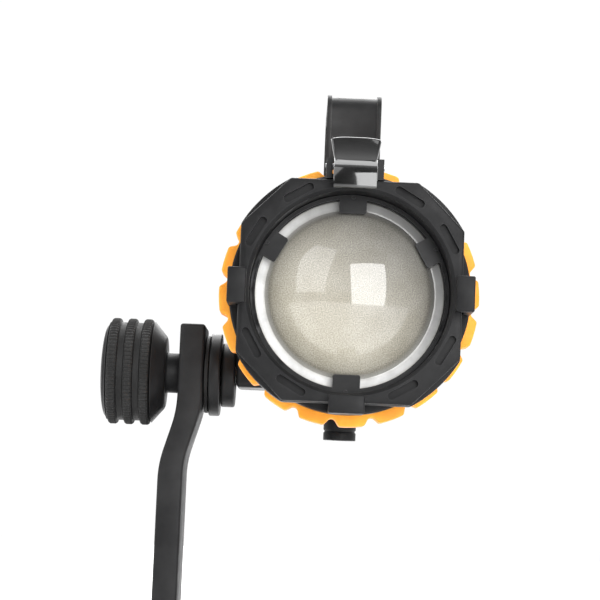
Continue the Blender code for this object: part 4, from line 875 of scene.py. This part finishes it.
def makeKnobGrip():
    shape = knobShape
    lowest, highest = low("tilt_knob_grip"), high("tilt_knob_grip")
    radius = highest.z - tiltHeight
    share = (highest.x - lowest.x) / (shape["ribs"] * 3 - 1)
    groove, shoulder, inside = (radius - shape[key] * mm for key in ("groove", "chamfer", "wall"))
    profile = [(lowest.x, inside)]
    for number in range(shape["ribs"]):
        start = lowest.x + number * 3 * share
        for offset, size in ((0, groove), (0.25, shoulder), (0.55, radius), (1.45, radius), (1.75, shoulder),
                             (2, groove)):
            profile.append((start + offset * share, size))
    profile.append((highest.x, inside))
    piece = lathe("knobGrip", "X", (0, 0, tiltHeight), profile, shape["teeth"] * 2)
    pitch = math.tau / (shape["teeth"] * 2)
    shrink = 1 - shape["tooth"] * mm / radius
    for vertex in piece.data.vertices:  # every second line of points sinks, which leaves the teeth
        across, up = vertex.co.y, vertex.co.z - tiltHeight
        number = round(math.atan2(up, across) / pitch)
        if math.hypot(across, up) > radius - 0.5 * mm and number % 2:
            vertex.co.y, vertex.co.z = across * shrink, tiltHeight + up * shrink
    return settle(piece, "tilt_knob", "black_rubber", "tilt_knob_grip", angle=20)


makeKnobCore()
makeKnobGrip()
print("knob made")


# barrel, rear section and lid
barrelShape = {
    "wall": 2.3, "rebate": 0.7, "rebateLength": 1.6, "padLength": 13.0, "padDrop": 27.0, "padEdge": 0.8,
    "inletHole": 5.3, "inletTop": 30.0, "inletFoot": 42.0,
}
rearShape = {"root": 3.6, "pitch": 6.4, "fins": 3, "slope": 0.4, "mouth": 32.5, "mouthDepth": 3.0,
             "tube": 8.0, "edge": 0.25}
coverShape = {"rim": 8.1, "dish": 2.5, "round": 1.2, "halfRound": 0.35, "vents": 8, "ventWidth": 2.6,
              "ventCorner": 1.25, "edge": 0.3}


def pad(front, back, top):
    shape = barrelShape
    piece = block("handlePad", (low("handle").x, front, lampHeight + shape["padDrop"] * mm),
                  (high("handle").x, back, top))
    roundEdges(piece, shape["padEdge"] * mm, 3, 40)
    return piece


def drillFor(piece, axis, node, radius, reach):
    spot, lowest, highest = middle(node), low(node), high(node)
    if axis == "Y":
        return cutHole(piece, "Y", (spot.x, 0, spot.z), lowest.y - reach, highest.y + reach, radius)
    return cutHole(piece, "Z", (spot.x, spot.y, 0), lowest.z - reach, highest.z + reach, radius)


def makeBarrel():
    shape = barrelShape
    front, back = low("barrel_housing").y, high("barrel_housing").y
    radius, top = high("barrel_housing").x, high("barrel_housing").z
    step, rebate = back - shape["rebateLength"] * mm, radius - shape["rebate"] * mm
    profile = [(front, 0), (front, radius), (step, radius), (step, rebate), (back, rebate), (back, 0)]
    piece = lathe("barrelHousing", "Y", (0, 0, lampHeight), profile, 144, False)
    handleFront = low("handle").y
    combine(piece, pad(handleFront - mm, handleFront + shape["padLength"] * mm, top), "UNION")
    cutHole(piece, "Y", (0, 0, lampHeight), front - mm, back + mm, radius - shape["wall"] * mm, 144)
    drillFor(piece, "Z", "handle_screw_front", screwHole * mm, mm)
    for node in ("bracket_screw_front", "bracket_screw_rear"):
        drillFor(piece, "Z", node, pilotHole * mm, mm)
    inlet = middle("power_inlet")
    cutHole(piece, "Z", (inlet.x, inlet.y, 0), lampHeight - shape["inletFoot"] * mm,
            lampHeight - shape["inletTop"] * mm, shape["inletHole"] * mm, 48)
    return settle(piece, "head", "black_metal", "barrel_housing")


def makeRear():
    shape = rearShape
    front, back = low("rear_housing").y, high("rear_housing").y
    radius, top = high("rear_housing").x, high("rear_housing").z
    root = radius - shape["root"] * mm
    pitch, slope = shape["pitch"] * mm, shape["slope"] * mm
    start = front + (back - front - shape["fins"] * pitch) / 2
    profile = [(front, 0), (front, radius)]
    for number in range(shape["fins"]):
        left = start + number * pitch
        right = left + pitch / 2
        profile += [(left, radius), (left + slope, root), (right - slope, root), (right, radius)]
    profile += [(back, radius), (back, 0)]
    piece = lathe("rearHousing", "Y", (0, 0, lampHeight), profile, 144, False)
    handleBack = high("handle").y
    combine(piece, pad(handleBack - barrelShape["padLength"] * mm, handleBack + mm, top), "UNION")
    mouth, step = shape["mouth"] * mm, front + shape["mouthDepth"] * mm
    tube = high("rear_cover").x - shape["tube"] * mm
    bore = [(front - mm, 0), (front - mm, mouth), (step, mouth), (step, tube), (back + mm, tube),
            (back + mm, 0)]
    combine(piece, lathe("rearBore", "Y", (0, 0, lampHeight), bore, 144, False), "DIFFERENCE")
    drillFor(piece, "Z", "handle_screw_rear", screwHole * mm, mm)
    for number in range(4):
        drillFor(piece, "Y", "rear_screw_" + str(number + 1), screwHole * mm, mm)
    roundEdges(piece, shape["edge"] * mm, 1, 40)
    return settle(piece, "head", "black_metal", "rear_housing")


def makeCover():
    shape = coverShape
    front, back = low("rear_cover").y, high("rear_cover").y
    radius = high("rear_cover").x
    corner, halfCorner, sunk = shape["round"] * mm, shape["halfRound"] * mm, shape["dish"] * mm
    dish = radius - shape["rim"] * mm
    profile = [(front, 0), (front, radius), (back - corner, radius), (back - halfCorner, radius - halfCorner),
               (back, radius - corner), (back, dish), (back - sunk, dish - sunk), (back - sunk, 0)]
    piece = lathe("rearCover", "Y", (0, 0, lampHeight), profile, 144, False)
    ventShape = roundedOutline(dish * 0.5, shape["ventWidth"] * mm, shape["ventCorner"] * mm, 4,
                               (dish * 0.58, 0))
    vents = []
    for number in range(shape["vents"]):
        outline = spunOutline(ventShape, 360 / shape["vents"] * (number + 0.5), (0, lampHeight))
        vents.append(slab("vent", "Y", outline, front - mm, back + mm))
    combine(piece, joined("vents", vents), "DIFFERENCE")
    for number in range(4):
        drillFor(piece, "Y", "rear_screw_" + str(number + 1), screwHole * mm, mm)
    roundEdges(piece, shape["edge"] * mm, 2, 40)
    return settle(piece, "head", "black_plastic", "rear_cover")


makeBarrel()
makeRear()
makeCover()
print("barrel made")


# power inlet, stand socket and its lock knob
inletShape = {
    "top": 38.0, "bore": 4.4, "neck": 5.0, "groove": 0.4, "grooveStart": 3.0, "grooveEnd": 4.0, "edge": 0.35,
}


def makeInlet():
    shape = inletShape
    lowest, highest = low("power_inlet"), high("power_inlet")
    spot = middle("power_inlet")
    radius, groove = (highest.x - lowest.x) / 2, shape["groove"] * mm
    top = lampHeight - shape["top"] * mm
    bore, neck = shape["bore"] * mm, shape["neck"] * mm
    foot, start, end = lowest.z, lowest.z + shape["grooveStart"] * mm, lowest.z + shape["grooveEnd"] * mm
    profile = [(foot, bore), (foot, radius), (start, radius), (start + 0.2 * mm, radius - groove),
               (end - 0.2 * mm, radius - groove), (end, radius), (top, radius), (top, neck),
               (highest.z, neck), (highest.z, bore)]
    piece = lathe("powerInlet", "Z", (spot.x, spot.y, 0), profile, 80)
    roundEdges(piece, shape["edge"] * mm, 2, 40)
    return settle(piece, "head", "black_plastic", "power_inlet")


socketShape = {"bore": 8.1, "depth": 35.0, "edge": 1.0, "groove": 0.5, "grooveStart": 3.0, "grooveEnd": 4.6}


def makeSocket():
    shape = socketShape
    radius, top = high("stand_socket").x, high("stand_socket").z
    bore, depth, edge = shape["bore"] * mm, shape["depth"] * mm, shape["edge"] * mm
    groove, start, end = shape["groove"] * mm, shape["grooveStart"] * mm, shape["grooveEnd"] * mm
    slope = 0.4 * mm
    profile = [(0, bore + edge), (0, radius - edge), (edge, radius), (start, radius),
               (start + slope, radius - groove), (end - slope, radius - groove), (end, radius),
               (top - edge, radius), (top, radius - edge), (top, 0), (depth, 0), (depth, bore), (edge, bore)]
    piece = lathe("standSocket", "Z", (0, 0, 0), profile, 112)
    lock = middle("stand_lock_screw")
    cutHole(piece, "X", (0, 0, lock.z), 4 * mm, 17 * mm, boltHole * mm, 32)
    cutHole(piece, "Z", (0, 0, 0), depth - mm, 42 * mm, boltHole * mm, 32)
    return settle(piece, "yoke", "black_metal", "stand_socket")


lockShape = {"radius": 11.0, "lobes": 6, "points": 96, "edge": 1.6}


def makeLockKnob():
    shape = lockShape
    start, end = low("stand_lock_knob").x, high("stand_lock_knob").x
    height = middle("stand_lock_screw").z
    outline = []
    for step in range(shape["points"]):
        angle = math.tau * step / shape["points"]
        radius = shape["radius"] * mm * (0.91 + 0.08 * math.cos(shape["lobes"] * angle))
        outline.append((radius * math.cos(angle), height + radius * math.sin(angle)))
    piece = slab("standLockKnob", "X", outline, start, end)
    roundEdges(piece, shape["edge"] * mm, 4, 50)
    cutHole(piece, "X", (0, 0, height), start - mm, high("stand_lock_screw").x + gap * mm, boltHole * mm, 32)
    return settle(piece, "stand_lock", "black_plastic", "stand_lock_knob")


makeInlet()
makeSocket()
makeLockKnob()
print("inlet and socket made")


# floor and lights, in metres
stageLook = {
    "size": 4.4, "drop": 0.0002,
    "floor": dict(dark=(0.86, 0.86, 0.86), light=(0.91, 0.91, 0.91), patch=3, rough=(0.55, 0.7), grain=400,
                  bump=0.05, wear=0.0),
}


def makeStage():
    startFresh()
    bpy.ops.mesh.primitive_plane_add(size=stageLook["size"], location=(0, 0, -stageLook["drop"]))
    floor = bpy.context.object
    floor.name = "floor"
    floor.data.materials.append(surface("paleFloor", stageLook["floor"]))


lightSetup = {
    "room": 0.12,  # dim on the lens side
    "wall": 1.02,  # bright behind the lamp
    "from": -0.74, "to": -0.14,  # where one turns into the other, as Y of a direction
    "boxes": {  # azimuth, elevation, distance, width, height, power
        "keyBox": (20, 13.5, 1.5, 0.96, 1.18, 27),
        "fillBox": (-40, 27, 1.6, 0.92, 1.35, 9),
        "topBox": (180, 66, 1.5, 1.4, 1.0, 12),
        "floorBox": (180, 38, 2.6, 2.4, 2.4, 70),
        "leftBox": (-75, 12, 1.6, 0.5, 1.4, 5),
    },
}


# an area light that faces the lens, at an angle from its axis
def softbox(name, azimuth, elevation, distance, width, height, power):
    turn, lift = math.radians(azimuth), math.radians(elevation)
    aim = inHead(0, 0, 0)
    ray = Vector((math.sin(turn) * math.cos(lift), -math.cos(turn) * math.cos(lift), math.sin(lift)))
    data = bpy.data.lights.new(name, "AREA")
    data.shape = "RECTANGLE"
    data.size, data.size_y = width, height
    data.energy = power
    light = bpy.data.objects.new(name, data)
    light.location = aim + ray * distance
    light.rotation_euler = ray.to_track_quat("Z", "Y").to_euler()
    bpy.context.scene.collection.objects.link(light)
    return light


def makeLights():
    world = bpy.data.worlds.new("studio")
    world.use_nodes = True
    tree = world.node_tree
    back = tree.nodes["Background"]
    aim = tree.nodes.new("ShaderNodeTexCoord").outputs["Generated"]
    apart = tree.nodes.new("ShaderNodeSeparateXYZ")
    tree.links.new(aim, apart.inputs["Vector"])
    setup = lightSetup
    strength = grade(tree, apart.outputs["Y"], setup["from"], setup["to"], setup["room"], setup["wall"])
    tree.links.new(strength, back.inputs["Strength"])
    back.inputs["Color"].default_value = (1, 1, 1, 1)
    bpy.context.scene.world = world
    for name, box in setup["boxes"].items():
        softbox(name, *box)


# place, focal length and sensor in mm, near in metres, turns in degrees
cameraSetup = {"place": (-15.7, -650.0, -64.6), "focal": 113.04, "pitch": 5.33, "yaw": 0.15, "roll": 2.4,
               "sensor": 36, "near": 0.01}


def makeCamera():
    setup = cameraSetup
    data = bpy.data.cameras.new("camera")
    data.lens = setup["focal"]
    data.sensor_width = setup["sensor"]
    data.clip_start = setup["near"]
    camera = bpy.data.objects.new("camera", data)
    spot = Vector(setup["place"]) * mm
    angles = ((setup["yaw"], "Z"), (90 + setup["pitch"], "X"), (setup["roll"], "Z"))
    yaw, pitch, roll = (Matrix.Rotation(math.radians(angle), 4, axis) for angle, axis in angles)
    camera.matrix_world = Matrix.Translation(inHead(0, 0, 0) + spot) @ yaw @ pitch @ roll
    bpy.context.scene.collection.objects.link(camera)
    bpy.context.scene.camera = camera


makeStage()
makeLights()
makeCamera()
bpy.context.scene.view_settings.view_transform = "Standard"
print("stage, lights and camera set")
